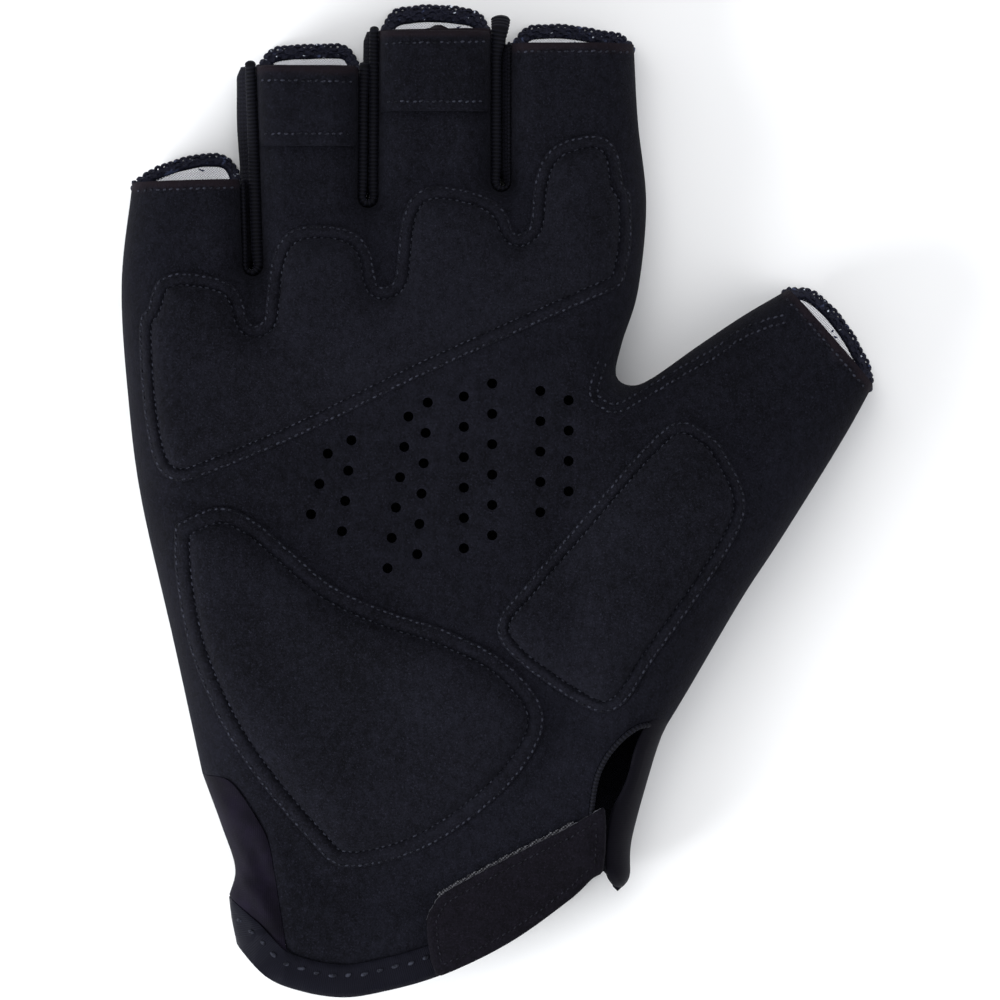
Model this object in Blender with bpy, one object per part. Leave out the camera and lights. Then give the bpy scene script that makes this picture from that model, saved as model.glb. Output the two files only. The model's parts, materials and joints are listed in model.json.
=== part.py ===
"""A padded fingerless cycling glove for the right hand, lying on its back with the palm up."""

import math

import bpy
import numpy as np
from mathutils import Vector
from mathutils.geometry import delaunay_2d_cdt

# Overall size in metres: X runs to the thumb, Y to the fingertips, Z out of the palm
GLOVE_LENGTH = 0.191
PALM_WIDTH = 0.100
PALM_THICKNESS = 0.026
THUMB_THICKNESS = 0.0185

# Walls
PALM_WALL = 0.0014
BACK_WALL = 0.0012
FOURCHETTE_WALL = 0.0010
GUSSET_WALL = 0.0012
BINDING_WALL = 0.0016
CLEARANCE = 0.0003

# How far in from a side seam or a finger slot the glove rounds over
SIDE_ROUND = 0.0095
SLOT_ROUND = 0.0055

# Trims, pads and strap
PIPING_DIAMETER = 0.0014
SLOT_OPENING = 0.0006
VENT_PIPING_DIAMETER = 0.0016
FOURCHETTE_BULGE = 0.0010
TRIM_WIDTH = 0.0022
HEM_ARCH = 0.0050
ARCH_SQUARENESS = 2.6
HEM_STEPS = 8
CUFF_BINDING_WIDTH = 0.0082
PAD_THICKNESS = 0.0028
PAD_EDGE = 0.0010
PAD_ROUND = 0.0045
TAB_THICKNESS = 0.0012
TAB_INSET = 0.0006
TAB_DROP = 0.0016
STRAP_THICKNESS = 0.0014
HOOK_TAPE_THICKNESS = 0.0006
HOOK_TAPE_WIDTH = 0.0075
HOOK_TAPE_SHOWS = 0.0007
FLAP_RISE = 0.0014
PERFORATION_DIAMETER = 0.0020
PERFORATION_PITCH = 0.0058

# Facet sizes
EDGE_FACET = 0.0056
PAD_FACET = 0.0050
FIELD_FACET = 0.0078
FIELD_START = 1.2
CORNER_FACET = 0.0016
RING_SHARES = (0.134, 0.5, 1.0)
PERFORATION_SIDES = 6
PIPING_RESOLUTION = 1

# The origin lies on the rest face, at this share of the length from the wrist
ORIGIN_ALONG = 0.45

# Side outlines, clockwise. Columns: across (share of PALM_WIDTH), along (share of GLOVE_LENGTH)
CUFF_CORNER = [(-0.287, 0.053), (-0.297, 0.079), (-0.302, 0.101)]
GUSSET_SIDE = [(-0.302, 0.101), (-0.290, 0.130), (-0.316, 0.173), (-0.352, 0.225)]
LITTLE_FINGER_SIDE = [
    (-0.352, 0.225),
    (-0.408, 0.361),
    (-0.469, 0.502),
    (-0.494, 0.602),
    (-0.508, 0.718),
    (-0.488, 0.821),
]
INDEX_AND_THUMB_CROTCH = [
    (0.479, 0.961),
    (0.487, 0.884),
    (0.503, 0.800),
    (0.487, 0.713),
    (0.456, 0.660),
    (0.444, 0.628),
    (0.469, 0.617),
    (0.510, 0.623),
    (0.606, 0.658),
    (0.692, 0.688),
    (0.777, 0.714),
]
THUMB_SIDE = [
    (0.940, 0.617),
    (0.881, 0.562),
    (0.760, 0.461),
    (0.685, 0.401),
    (0.581, 0.308),
    (0.537, 0.270),
]
FLAP_SIDE = [(0.537, 0.270), (0.517, 0.240), (0.475, 0.159), (0.471, 0.121), (0.448, 0.106)]
WRIST_MOUTH = [
    (0.448, 0.106),
    (0.413, 0.126),
    (0.360, 0.102),
    (0.240, 0.057),
    (0.106, 0.023),
    (-0.010, 0.006),
    (-0.087, 0.001),
    (-0.167, 0.008),
    (-0.229, 0.022),
    (-0.287, 0.053),
]

# Slots between the fingers. Columns: left finger, right finger, root across, root along,
# tip across, along of the left hem, along of the right hem
SLOTS = [
    ("pinky", "ring", -0.254, 0.737, -0.268, 0.824, 0.939),
    ("ring", "middle", -0.033, 0.806, -0.031, 0.937, 0.974),
    ("middle", "index", 0.223, 0.822, 0.223, 0.976, 0.961),
]
FINGERS = ("pinky", "ring", "middle", "index", "thumb")

# Thickness of the hand part. Columns: along, share of PALM_THICKNESS
THICKNESS_ROWS = [
    (0.00, 0.60),
    (0.12, 0.66),
    (0.25, 0.86),
    (0.38, 0.97),
    (0.52, 1.00),
    (0.64, 0.96),
    (0.74, 0.82),
    (0.84, 0.70),
    (1.00, 0.65),
]

# Thumb axis, from the palm to its hem. Columns: across, along
THUMB_AXIS = [(0.567, 0.532), (0.860, 0.666)]
THUMB_REACH = 0.014
THUMB_FADE = 0.010

# Share of the thickness that a side seam, a palm edge at a slot and a back edge at a slot take
SEAM_SHARE = 0.50
SLOT_DROP = 0.32
SLOT_RISE = 0.28

# Hollows of the palm. Columns: across, along, half width, half length, depth (share of thickness)
PALM_DENTS = [
    (0.06, 0.50, 0.22, 0.09, 0.11),
    (0.36, 0.40, 0.06, 0.16, 0.07),
    (-0.02, 0.28, 0.16, 0.05, 0.05),
    (0.55, 0.60, 0.10, 0.05, 0.06),
]

# Inner edges of the palm and of the pieces beside it. Columns: across, along
GUSSET_EDGE = [
    (-0.186, 0.036),
    (-0.212, 0.125),
    (-0.225, 0.160),
    (-0.252, 0.187),
    (-0.298, 0.219),
    (-0.352, 0.225),
]
VENT_EDGE = [
    (0.508, 0.279),
    (0.481, 0.276),
    (0.444, 0.261),
    (0.412, 0.238),
    (0.394, 0.205),
    (0.380, 0.120),
]
FLAP_EDGE = [
    (0.520, 0.262),
    (0.490, 0.252),
    (0.467, 0.226),
    (0.456, 0.198),
    (0.434, 0.172),
    (0.428, 0.128),
]

# Palm pads, clockwise. Columns: across, along
KNUCKLE_PAD_SIDE = [(0.472, 0.815), (0.474, 0.763), (0.458, 0.716)]
KNUCKLE_PAD_FOOT = [
    (0.458, 0.716),
    (0.298, 0.679),
    (0.063, 0.623),
    (-0.163, 0.565),
    (-0.327, 0.529),
    (-0.394, 0.519),
    (-0.437, 0.536),
    (-0.460, 0.590),
    (-0.470, 0.663),
    (-0.467, 0.690),
]
# Columns: valley across, valley along, top of the lobe to its right, tilt of that top
KNUCKLE_PAD_LOBES = [
    (-0.467, 0.690, 0.728, -0.008),
    (-0.246, 0.675, 0.777, -0.002),
    (0.003, 0.715, 0.815, -0.012),
    (0.265, 0.769, 0.866, 0.012),
    (0.472, 0.815, None, None),
]
LOBE_SQUARENESS = 3.0
LOBE_WIDTH = 0.84
HEEL_PAD = [
    (-0.402, 0.477),
    (-0.317, 0.495),
    (-0.248, 0.481),
    (-0.183, 0.453),
    (-0.096, 0.415),
    (0.010, 0.390),
    (0.125, 0.370),
    (0.240, 0.336),
    (0.306, 0.282),
    (0.240, 0.216),
    (0.087, 0.154),
    (-0.070, 0.132),
    (-0.140, 0.157),
    (-0.279, 0.248),
    (-0.365, 0.340),
    (-0.398, 0.421),
]
THUMB_PAD = [
    (0.640, 0.560),
    (0.690, 0.500),
    (0.648, 0.443),
    (0.510, 0.338),
    (0.456, 0.296),
    (0.394, 0.291),
    (0.250, 0.342),
    (0.215, 0.378),
    (0.272, 0.418),
    (0.375, 0.481),
    (0.500, 0.556),
    (0.567, 0.581),
]

# Pull-off bands. Columns: finger, foot along
PULL_TABS = [("ring", 0.857), ("middle", 0.892)]

# Perforations. Columns: across and along of the lowest hole, holes, lean of the column
PERFORATIONS = [
    (-0.140, 0.487, 3, 0.016),
    (-0.081, 0.470, 4, 0.006),
    (0.006, 0.433, 6, 0.008),
    (0.063, 0.447, 6, 0.004),
    (0.152, 0.453, 6, 0.000),
    (0.206, 0.466, 6, 0.000),
    (0.298, 0.489, 5, 0.000),
    (0.352, 0.510, 4, 0.000),
]

# Upper edge of the closure strap, left to right, and its left end. Columns: across, along
STRAP_EDGE = [(0.077, 0.078), (0.092, 0.094), (0.122, 0.110), (0.260, 0.149), (0.414, 0.191)]
STRAP_FOOT_LEFT = (0.090, 0.018)
STRAP_FOOT_RIGHT = (0.405, 0.128)


def place(rows):
    """Plan points in metres from rows of across and along shares."""
    shares = np.array(rows, float)
    return np.column_stack(
        [shares[:, 0] * PALM_WIDTH, (shares[:, 1] - ORIGIN_ALONG) * GLOVE_LENGTH]
    )


def arc_lengths(line):
    steps = np.linalg.norm(np.diff(line, axis=0), axis=1)
    return np.concatenate([[0.0], np.cumsum(steps)])


def even(line, facet):
    """The line again, with points evenly spaced about one facet apart."""
    lengths = arc_lengths(line)
    count = max(1, math.ceil(lengths[-1] / facet - 0.01))
    stations = np.linspace(0, lengths[-1], count + 1)
    return np.column_stack([np.interp(stations, lengths, line[:, k]) for k in (0, 1)])


def smooth_line(rows, facet=EDGE_FACET):
    """A smooth curve through the rows, from the first to the last."""
    points = place(rows)
    ends = 2 * points[[0, -1]] - points[[1, -2]]
    padded = np.vstack([ends[:1], points, ends[1:]])
    dense = []
    for before, start, end, after in zip(padded, padded[1:], padded[2:], padded[3:]):
        for t in np.linspace(0, 1, 10, endpoint=False):
            bend = 2 * before - 5 * start + 4 * end - after
            twist = -before + 3 * start - 3 * end + after
            dense.append(start + 0.5 * ((end - before) * t + bend * t**2 + twist * t**3))
    dense.append(points[-1])
    return even(np.array(dense), facet)


def join(*lines):
    """One line out of several that follow each other, with no point twice."""
    points = [lines[0][0]]
    for line in lines:
        for point in line:
            if np.linalg.norm(point - points[-1]) > CLEARANCE / 4:
                points.append(point)
    if np.linalg.norm(points[0] - points[-1]) < CLEARANCE / 4:
        points.pop()
    return np.array(points)


def right_normals(line):
    """Unit normals to the right of the line, which is the inside on a clockwise outline."""
    along = np.gradient(line, axis=0)
    along /= np.linalg.norm(along, axis=1)[:, None]
    return np.column_stack([along[:, 1], -along[:, 0]])


def moved_right(line, distance):
    return line + right_normals(line) * distance


def cut(line, start=0.0, end=0.0):
    """The line with the given lengths taken off its two ends."""
    lengths = arc_lengths(line)
    low = start
    high = lengths[-1] - end
    stations = lengths[(lengths > low + CLEARANCE) & (lengths < high - CLEARANCE)]
    stations = np.concatenate([[low], stations, [high]])
    return np.column_stack([np.interp(stations, lengths, line[:, k]) for k in (0, 1)])


def station_of(line, point):
    """Length along the line to its point nearest to the given one."""
    fine = even(line, CLEARANCE)
    nearest = np.argmin(np.linalg.norm(fine - point, axis=1))
    return arc_lengths(fine)[nearest]


def between(line, first, last):
    """The stretch of the line from near one point to near another."""
    total = arc_lengths(line)[-1]
    return cut(line, station_of(line, first), total - station_of(line, last))


def crossing(line, other):
    """Length along the line to where it crosses the other one."""
    fine = even(line, CLEARANCE / 2)
    return arc_lengths(fine)[distances(fine, [other]).argmin()]


def distances(points, lines):
    """Distance of each point to the nearest of the lines."""
    best = np.full(len(points), 1.0)
    for line in lines:
        starts = line[:-1]
        runs = line[1:] - starts
        offsets = points[:, None] - starts[None]
        shares = (offsets * runs).sum(2) / (runs**2).sum(1)
        nearest = starts + np.clip(shares, 0, 1)[..., None] * runs
        gaps = np.linalg.norm(points[:, None] - nearest, axis=2)
        best = np.minimum(best, gaps.min(1))
    return best


def inside(points, outline):
    """Whether each point lies within the closed outline."""
    found = np.zeros(len(points), bool)
    for start, end in zip(outline, np.roll(outline, -1, axis=0)):
        crosses = (start[1] > points[:, 1]) != (end[1] > points[:, 1])
        rise = end[1] - start[1]
        if rise == 0:
            continue
        reach = start[0] + (points[:, 1] - start[1]) * (end[0] - start[0]) / rise
        found ^= crosses & (points[:, 0] < reach)
    return found


def slot_line(slot):
    """Round slot outline: down the left finger's edge, round the root and up the right one's."""
    _, _, root_across, root_along, tip_across, left_hem, right_hem = slot
    half = CLEARANCE + PIPING_DIAMETER + SLOT_OPENING / 2
    root, tip = place([(root_across, root_along), (tip_across, right_hem)])
    left_top, right_top = place([(0, left_hem), (0, right_hem)])[:, 1]
    lean = (tip[0] - root[0]) / (tip[1] - root[1])
    left = [(root[0] + lean * (left_top - root[1]) - half, left_top), (root[0] - half, root[1])]
    right = [(root[0] + half, root[1]), (root[0] + lean * (right_top - root[1]) + half, right_top)]
    turns = np.linspace(math.pi, 2 * math.pi, 5)
    cap = np.column_stack([np.cos(turns), np.sin(turns)]) * half + root
    return join(even(np.array(left), EDGE_FACET), cap, even(np.array(right), EDGE_FACET))


def swell(distance, reach):
    """One at an edge, falling to nothing at the reach, like a quarter of an ellipse."""
    left = 1 - np.clip(distance / reach, 0, 1)
    return 1 - np.sqrt(1 - left**2)


def ease(value):
    value = np.clip(value, 0, 1)
    return value * value * (3 - 2 * value)


little_finger_side = smooth_line(LITTLE_FINGER_SIDE)
gusset_side = smooth_line(GUSSET_SIDE)
cuff_corner = smooth_line(CUFF_CORNER)
crotch = smooth_line(INDEX_AND_THUMB_CROTCH)
thumb_side = smooth_line(THUMB_SIDE)
flap_side = smooth_line(FLAP_SIDE)
wrist_mouth = smooth_line(WRIST_MOUTH)
slots = [slot_line(slot) for slot in SLOTS]
sides = [join(cuff_corner, gusset_side, little_finger_side), crotch, join(thumb_side, flap_side)]
edges = [sides[0], *slots, crotch, sides[2]]


def thickness(points):
    """Total thickness of the glove, from the hand's rows and the thumb's own size."""
    rows = np.array(THICKNESS_ROWS)
    along = points[:, 1] / GLOVE_LENGTH + ORIGIN_ALONG
    hand = np.interp(along, rows[:, 0], rows[:, 1]) * PALM_THICKNESS
    root, tip = place(THUMB_AXIS)
    run = tip - root
    length = np.linalg.norm(run)
    reached = (points - root) @ run / length**2
    aside = np.abs((points - root) @ np.array([-run[1], run[0]]) / length)
    weight = ease(reached) * (1 - ease((aside - THUMB_REACH) / THUMB_FADE))
    return hand * (1 - weight) + THUMB_THICKNESS * weight


def dents(points, total):
    depth = np.zeros(len(points))
    for across, along, half_width, half_length, share in PALM_DENTS:
        centre = place([(across, along)])[0]
        away = (points - centre) / (half_width * PALM_WIDTH, half_length * GLOVE_LENGTH)
        depth += share * total * np.exp(-(away**2).sum(1))
    return depth


def levels(points):
    """Heights of the palm side and of the back of the glove over each plan point."""
    total = thickness(points)
    side = swell(distances(points, sides), SIDE_ROUND)
    slot = swell(distances(points, slots), SLOT_ROUND)
    palm = total * (1 - (1 - SEAM_SHARE) * side) * (1 - SLOT_DROP * slot)
    palm -= dents(points, total) * (1 - side) * (1 - slot)
    back = total * (1 - (1 - SEAM_SHARE * side) * (1 - SLOT_RISE * slot))
    return palm + CLEARANCE, back


def field_points(outline):
    """Points that every piece's facets share: rings along the edges and a field between them."""
    picked = []
    for line in edges:
        reach = SLOT_ROUND if any(line is slot for slot in slots) else SIDE_ROUND
        for share in RING_SHARES:
            ring = moved_right(line, share * reach)
            spared = np.abs(distances(ring, edges) - share * reach) < CLEARANCE / 2
            picked.append(ring[spared & inside(ring, outline)])
    low = outline.min(0)
    high = outline.max(0)
    for row, y in enumerate(np.arange(low[1], high[1], FIELD_FACET * math.sqrt(3) / 2)):
        start = low[0] + FIELD_FACET * (0.5 if row % 2 else 0)
        field = np.array([(x, y) for x in np.arange(start, high[0], FIELD_FACET)])
        free = distances(field, sides) > SIDE_ROUND * FIELD_START
        free &= distances(field, slots) > SLOT_ROUND * FIELD_START
        picked.append(field[free & inside(field, outline)])
    kept = []
    for point in np.vstack(picked):
        if not kept or np.linalg.norm(np.array(kept) - point, axis=1).min() > CORNER_FACET:
            kept.append(point)
    return np.array(kept)


def triangulate(outline, holes=(), marks=(), field=None):
    """Plan triangles of an outline with holes, with edges along the marked closed lines too."""
    field = shared_field if field is None else field
    loops = [outline, *holes, *marks]
    closed = [np.vstack([loop, loop[:1]]) for loop in loops]
    free = inside(field, outline) & (distances(field, closed) > CORNER_FACET)
    for hole in holes:
        free &= ~inside(field, hole)
    points = np.vstack([*loops, field[free]])
    rims = []
    first = 0
    for loop in loops:
        numbers = first + np.arange(len(loop))
        rims += list(zip(numbers.tolist(), np.roll(numbers, -1).tolist()))
        first += len(loop)
    flat = [Vector(point) for point in points * 1000]
    made, _, faces, _, _, _ = delaunay_2d_cdt(flat, rims, [], 0, 1e-6, True)
    points = np.array([tuple(point) for point in made]) / 1000
    faces = np.array(faces)
    middles = points[faces].mean(1)
    keep = inside(middles, outline)
    for hole in holes:
        keep &= ~inside(middles, hole)
    faces = faces[keep]
    first, second, third = (points[faces[:, k]] for k in range(3))
    across = second - first
    down = third - first
    turned = across[:, 0] * down[:, 1] - across[:, 1] * down[:, 0] < 0
    faces[turned] = faces[turned][:, ::-1]
    return points, faces


def on_seam(points):
    return distances(points, sides + slots) < CLEARANCE / 10


def seam_directions(points):
    """Level directions out of the glove at points on the side seams and slots."""
    stations = np.vstack(edges)
    outward = -np.vstack([right_normals(line) for line in edges])
    nearest = np.linalg.norm(points[:, None] - stations[None], axis=2).argmin(1)
    return np.column_stack([outward[nearest], np.zeros(len(points))])


def surface_normals(plan, palm_side):
    """Unit normals out of the glove over plan points, level along seams and slots."""
    step = CLEARANCE / 3
    side = 0 if palm_side else 1
    slopes = []
    for move in ((step, 0), (0, step)):
        rise = levels(plan + move)[side] - levels(plan - move)[side]
        slopes.append(rise / (2 * step))
    normals = np.column_stack([-slopes[0], -slopes[1], np.ones(len(plan))])
    normals /= np.linalg.norm(normals, axis=1)[:, None]
    if not palm_side:
        normals = -normals
    seam = on_seam(plan)
    normals[seam] = seam_directions(plan[seam])
    return normals


def used_only(plan, faces):
    """The plan points that the faces use, and the faces with their new numbers."""
    kept, numbers = np.unique(faces, return_inverse=True)
    return plan[kept], numbers.reshape(-1, 3)


def finish(name, points, faces, colour, roughness):
    """A named mesh object with its own material."""
    mesh = bpy.data.meshes.new(name)
    mesh.from_pydata([tuple(point) for point in points], [], [tuple(face) for face in faces])
    mesh.update()
    obj = bpy.data.objects.new(name, mesh)
    bpy.context.scene.collection.objects.link(obj)
    paint(obj, colour, roughness)
    return obj


def paint(obj, colour, roughness):
    material = bpy.data.materials.new(obj.name)
    material.use_nodes = True
    shader = material.node_tree.nodes["Principled BSDF"]
    shader.inputs["Base Color"].default_value = (*colour, 1)
    shader.inputs["Roughness"].default_value = roughness
    shader.inputs["Metallic"].default_value = 0
    obj.data.materials.append(material)


def thicken(points, faces, normals, low, high):
    """A closed shell between two distances from a surface, walled along its open rims."""
    count = len(points)
    outer = points + normals * np.broadcast_to(high, count)[:, None]
    inner = points + normals * np.broadcast_to(low, count)[:, None]
    used = set()
    for a, b, c in faces.tolist():
        used |= {(a, b), (b, c), (c, a)}
    rims = sorted((a, b) for a, b in used if (b, a) not in used)
    shell = faces.tolist()
    shell += [(c + count, b + count, a + count) for a, b, c in faces.tolist()]
    shell += [(b, a, a + count, b + count) for a, b in rims]
    return np.vstack([outer, inner]), shell


def palm_patch(name, sheet, low, high, colour, roughness):
    """A piece on the palm side of the glove, between two distances from its surface."""
    plan, faces = sheet
    points = np.column_stack([plan, levels(plan)[0]])
    normals = surface_normals(plan, True)
    high = high(plan) if callable(high) else high
    return finish(name, *thicken(points, faces, normals, low, high), colour, roughness)


def back_patch(name, outline, wall, colour, roughness):
    """A piece of the back of the glove, one wall thick."""
    plan, faces = triangulate(outline)
    points = np.column_stack([plan, levels(plan)[1]])
    normals = surface_normals(plan, False)
    faces = faces[:, ::-1]
    return finish(name, *thicken(points, faces, normals, -wall, 0.0), colour, roughness)


def wrapped_patch(name, palm_outline, back_outline, wall, colour, roughness):
    """A piece that wraps a side of the glove, joined on the side seam."""
    palm_plan, palm_faces = triangulate(palm_outline)
    back_plan, back_faces = triangulate(back_outline)
    palm_points = np.column_stack([palm_plan, levels(palm_plan)[0]])
    back_points = np.column_stack([back_plan, levels(back_plan)[1]])
    numbers = np.arange(len(back_plan)) + len(palm_plan)
    for k in np.flatnonzero(on_seam(back_plan)):
        gaps = np.linalg.norm(palm_plan - back_plan[k], axis=1)
        if gaps.min() < CLEARANCE / 10:
            numbers[k] = gaps.argmin()
            palm_points[numbers[k], 2] -= CLEARANCE / 2
    normals = np.vstack([surface_normals(palm_plan, True), surface_normals(back_plan, False)])
    faces = np.vstack([palm_faces, numbers[back_faces][:, ::-1]])
    points = np.hstack([np.vstack([palm_points, back_points]), normals])
    points, faces = used_only(points, faces)
    shell = thicken(points[:, :3], faces, points[:, 3:], -wall, 0.0)
    return finish(name, *shell, colour, roughness)


def hem(start, end, arch):
    """Points between two corners of a hem, closer at its ends, which arches out by a height."""
    run = end - start
    outward = np.array([-run[1], run[0]]) / np.linalg.norm(run)
    shares = (1 - np.cos(np.linspace(0, math.pi, HEM_STEPS + 1))) / 2
    rise = arch * (1 - np.abs(2 * shares - 1) ** ARCH_SQUARENESS)
    return start + shares[:, None] * run + rise[:, None] * outward


def hemmed_edges(shorter):
    """The finger edges in clockwise order, each cut short at its hem corners."""
    lines = [cut(edges[0], end=shorter)]
    lines += [cut(line, shorter, shorter) for line in edges[1:-1]]
    lines.append(cut(edges[-1], start=shorter))
    return lines


def with_hems(lines, arch):
    """Finger edges and the hems between them, as one list of lines."""
    woven = [lines[0]]
    for before, after in zip(lines, lines[1:]):
        woven.append(hem(before[-1], after[0], arch))
        woven.append(after)
    return woven


def back_lines():
    """Finger edges of the back, with hems that stay clear of the knitted trims."""
    trims = with_hems(hemmed_edges(TRIM_WIDTH), HEM_ARCH)
    lines = with_hems(hemmed_edges(TRIM_WIDTH + CLEARANCE), HEM_ARCH)
    for k in range(1, len(lines), 2):
        lines[k] = moved_right(trims[k], CLEARANCE)[1:-1]
    return lines


def gusset_edge(side_gap):
    """Edge between the palm and the gusset, from the cuff binding up to the side."""
    line = moved_right(smooth_line(GUSSET_EDGE), side_gap)
    binding = moved_right(cuff_line(), CLEARANCE)
    return cut(line, start=crossing(line, binding))


def cuff_line():
    """Upper edge of the cuff binding, from the flap to the little finger's side."""
    line = moved_right(wrist_mouth, CUFF_BINDING_WIDTH)
    clear = inside(line, whole_outline) & (distances(line, sides) > CUFF_BINDING_WIDTH / 3)
    line = line[clear]
    right = even(sides[2], CLEARANCE)
    start = right[np.linalg.norm(right - line[0], axis=1).argmin()]
    return join([start], line, [place(CUFF_CORNER)[-1]])


def strap_outline():
    upper = smooth_line(STRAP_EDGE)
    foot = between(wrist_mouth, *place([STRAP_FOOT_RIGHT, STRAP_FOOT_LEFT]))
    return join(upper, foot)


def panel_outline(lines, vent):
    """Finger edges closed by the vent or the flap's side, the cuff binding and the gusset."""
    gusset = gusset_edge(CLEARANCE)
    binding = moved_right(cuff_line(), CLEARANCE)
    start = station_of(lines[0], place(GUSSET_EDGE)[-1]) + 2 * CLEARANCE
    vent = cut(vent, end=arc_lengths(vent)[-1] - crossing(vent, binding))
    foot = between(binding, vent[-1], gusset[0])
    return join(cut(lines[0], start=start), *lines[1:-1], vent, foot[1:-1], gusset)


def palm_outline():
    vent = smooth_line(VENT_EDGE)
    lines = with_hems(edges, 0.0)
    side = between(lines[-1], lines[-1][0], vent[0])
    return panel_outline(lines, join(side[:-1], vent))


def perforations():
    """Six-sided holes in leaning columns."""
    turns = np.arange(PERFORATION_SIDES) * 2 * math.pi / PERFORATION_SIDES
    ring = np.column_stack([np.cos(turns), np.sin(turns)]) * PERFORATION_DIAMETER / 2
    holes = []
    for across, along, count, lean in PERFORATIONS:
        foot = place([(across, along)])[0]
        for step in range(count):
            drift = lean * PALM_WIDTH * step
            holes.append(ring + foot + (drift, step * PERFORATION_PITCH))
    return holes


def palm_sheet(pads, tabs):
    """Plan triangles of the palm, with edges along the outlines of what is sewn onto it."""
    rings = [pad_ring(outline) for outline in pads]
    spare = distances(shared_field, [np.vstack([ring, ring[:1]]) for ring in rings])
    field = np.vstack([*rings, shared_field[spare > CORNER_FACET]])
    return triangulate(palm_outline(), perforations(), [*pads, *tabs], field)


def part_of_sheet(sheet, outline):
    plan, faces = sheet
    return used_only(plan, faces[inside(plan[faces].mean(1), outline)])


def build_back_panel():
    lines = back_lines()
    outline = panel_outline(lines, lines[-1])
    back_patch("back_panel", outline, BACK_WALL, (0.01, 0.01, 0.03), 0.8)


def build_fourchette(slot, line):
    """Strip between two fingers, from the back's edge to the palm's, bulging into the slot."""
    normals = right_normals(line)
    palm, back = levels(line)
    gap = (PALM_WALL - FOURCHETTE_WALL) / 2
    rows = []
    for depth in (gap, gap + FOURCHETTE_WALL):
        for share, bulge in ((0.0, 0.0), (0.5, 1.0), (1.0, 0.0)):
            plan = line + normals * (depth - bulge * FOURCHETTE_BULGE)
            low = back + CLEARANCE
            high = palm - CLEARANCE
            rows.append(np.column_stack([plan, low + share * (high - low)]))
    ring = [rows[0], rows[1], rows[2], rows[5], rows[4], rows[3]]
    points = np.vstack(ring)
    count = len(line)
    faces = []
    for row in range(6):
        after = (row + 1) % 6
        for k in range(count - 1):
            here = row * count + k
            there = after * count + k
            faces.append((here, there, there + 1, here + 1))
    faces.append([row * count for row in reversed(range(6))])
    faces.append([row * count + count - 1 for row in range(6)])
    finish(f"fourchette_{slot[0]}_{slot[1]}", points, faces, (0.02, 0.02, 0.03), 0.8)


def piping(name, points, diameter, colour):
    """A round cord sewn along an edge."""
    curve = bpy.data.curves.new(name, "CURVE")
    curve.dimensions = "3D"
    curve.bevel_depth = diameter / 2
    curve.bevel_resolution = PIPING_RESOLUTION
    curve.use_fill_caps = True
    spline = curve.splines.new("POLY")
    spline.points.add(len(points) - 1)
    for spot, point in zip(spline.points, points):
        spot.co = (*point, 1)
    obj = bpy.data.objects.new(name, curve)
    bpy.context.scene.collection.objects.link(obj)
    paint(obj, colour, 0.7)


def build_slot_piping(slot, line):
    plan = moved_right(line, -(CLEARANCE + PIPING_DIAMETER / 2))
    height = levels(line)[0] + PIPING_DIAMETER / 10
    points = np.column_stack([plan, height])
    piping(f"slot_binding_{slot[0]}_{slot[1]}", points, PIPING_DIAMETER, (0.03, 0.03, 0.05))


def build_vent_piping():
    """Piping along the palm's edge at the vent, from the flap down to the cuff binding."""
    vent = smooth_line(VENT_EDGE, EDGE_FACET / 2)
    foot = arc_lengths(vent)[-1] - crossing(vent, cuff_line())
    vent = cut(vent, 3 * VENT_PIPING_DIAMETER, foot + 2 * CLEARANCE)
    plan = moved_right(vent, -(CLEARANCE + VENT_PIPING_DIAMETER / 2))
    height = levels(vent)[0] - PALM_WALL / 2
    points = np.column_stack([plan, height])
    piping("vent_binding", points, VENT_PIPING_DIAMETER, (0.02, 0.02, 0.03))


def build_finger_trims():
    """Knitted edging on the back panel's hems, level with the palm's hem at the sides."""
    outer = hemmed_edges(0.0)
    inner = hemmed_edges(TRIM_WIDTH)
    for k, finger in enumerate(FINGERS):
        rim = hem(outer[k][-1], outer[k + 1][0], HEM_ARCH)
        foot = hem(inner[k][-1], inner[k + 1][0], HEM_ARCH)
        outline = join(rim, foot[::-1])
        back_patch(f"finger_trim_{finger}", outline, BACK_WALL, (0.02, 0.03, 0.10), 0.8)


def pad_height(outline):
    """Height of a pad over its plan points: a low edge that rounds up to the full thickness."""
    closed = np.vstack([outline, outline[:1]])

    def height(plan):
        away = distances(plan, [closed])
        return CLEARANCE + PAD_EDGE + (PAD_THICKNESS - PAD_EDGE) * (1 - swell(away, PAD_ROUND))

    return height


def pad_ring(outline):
    """Points inside a pad's outline, where its edge has rounded halfway up."""
    around = np.vstack([outline[-1:], outline, outline[:1]])
    ring = moved_right(around, PAD_ROUND / 2)[1:-1]
    away = distances(ring, [around])
    return ring[(away > PAD_ROUND * 0.4) & inside(ring, outline)]


def build_pad(name, sheet, outline):
    piece = part_of_sheet(sheet, outline)
    palm_patch(name, piece, CLEARANCE, pad_height(outline), (0.015, 0.015, 0.025), 0.85)


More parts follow.
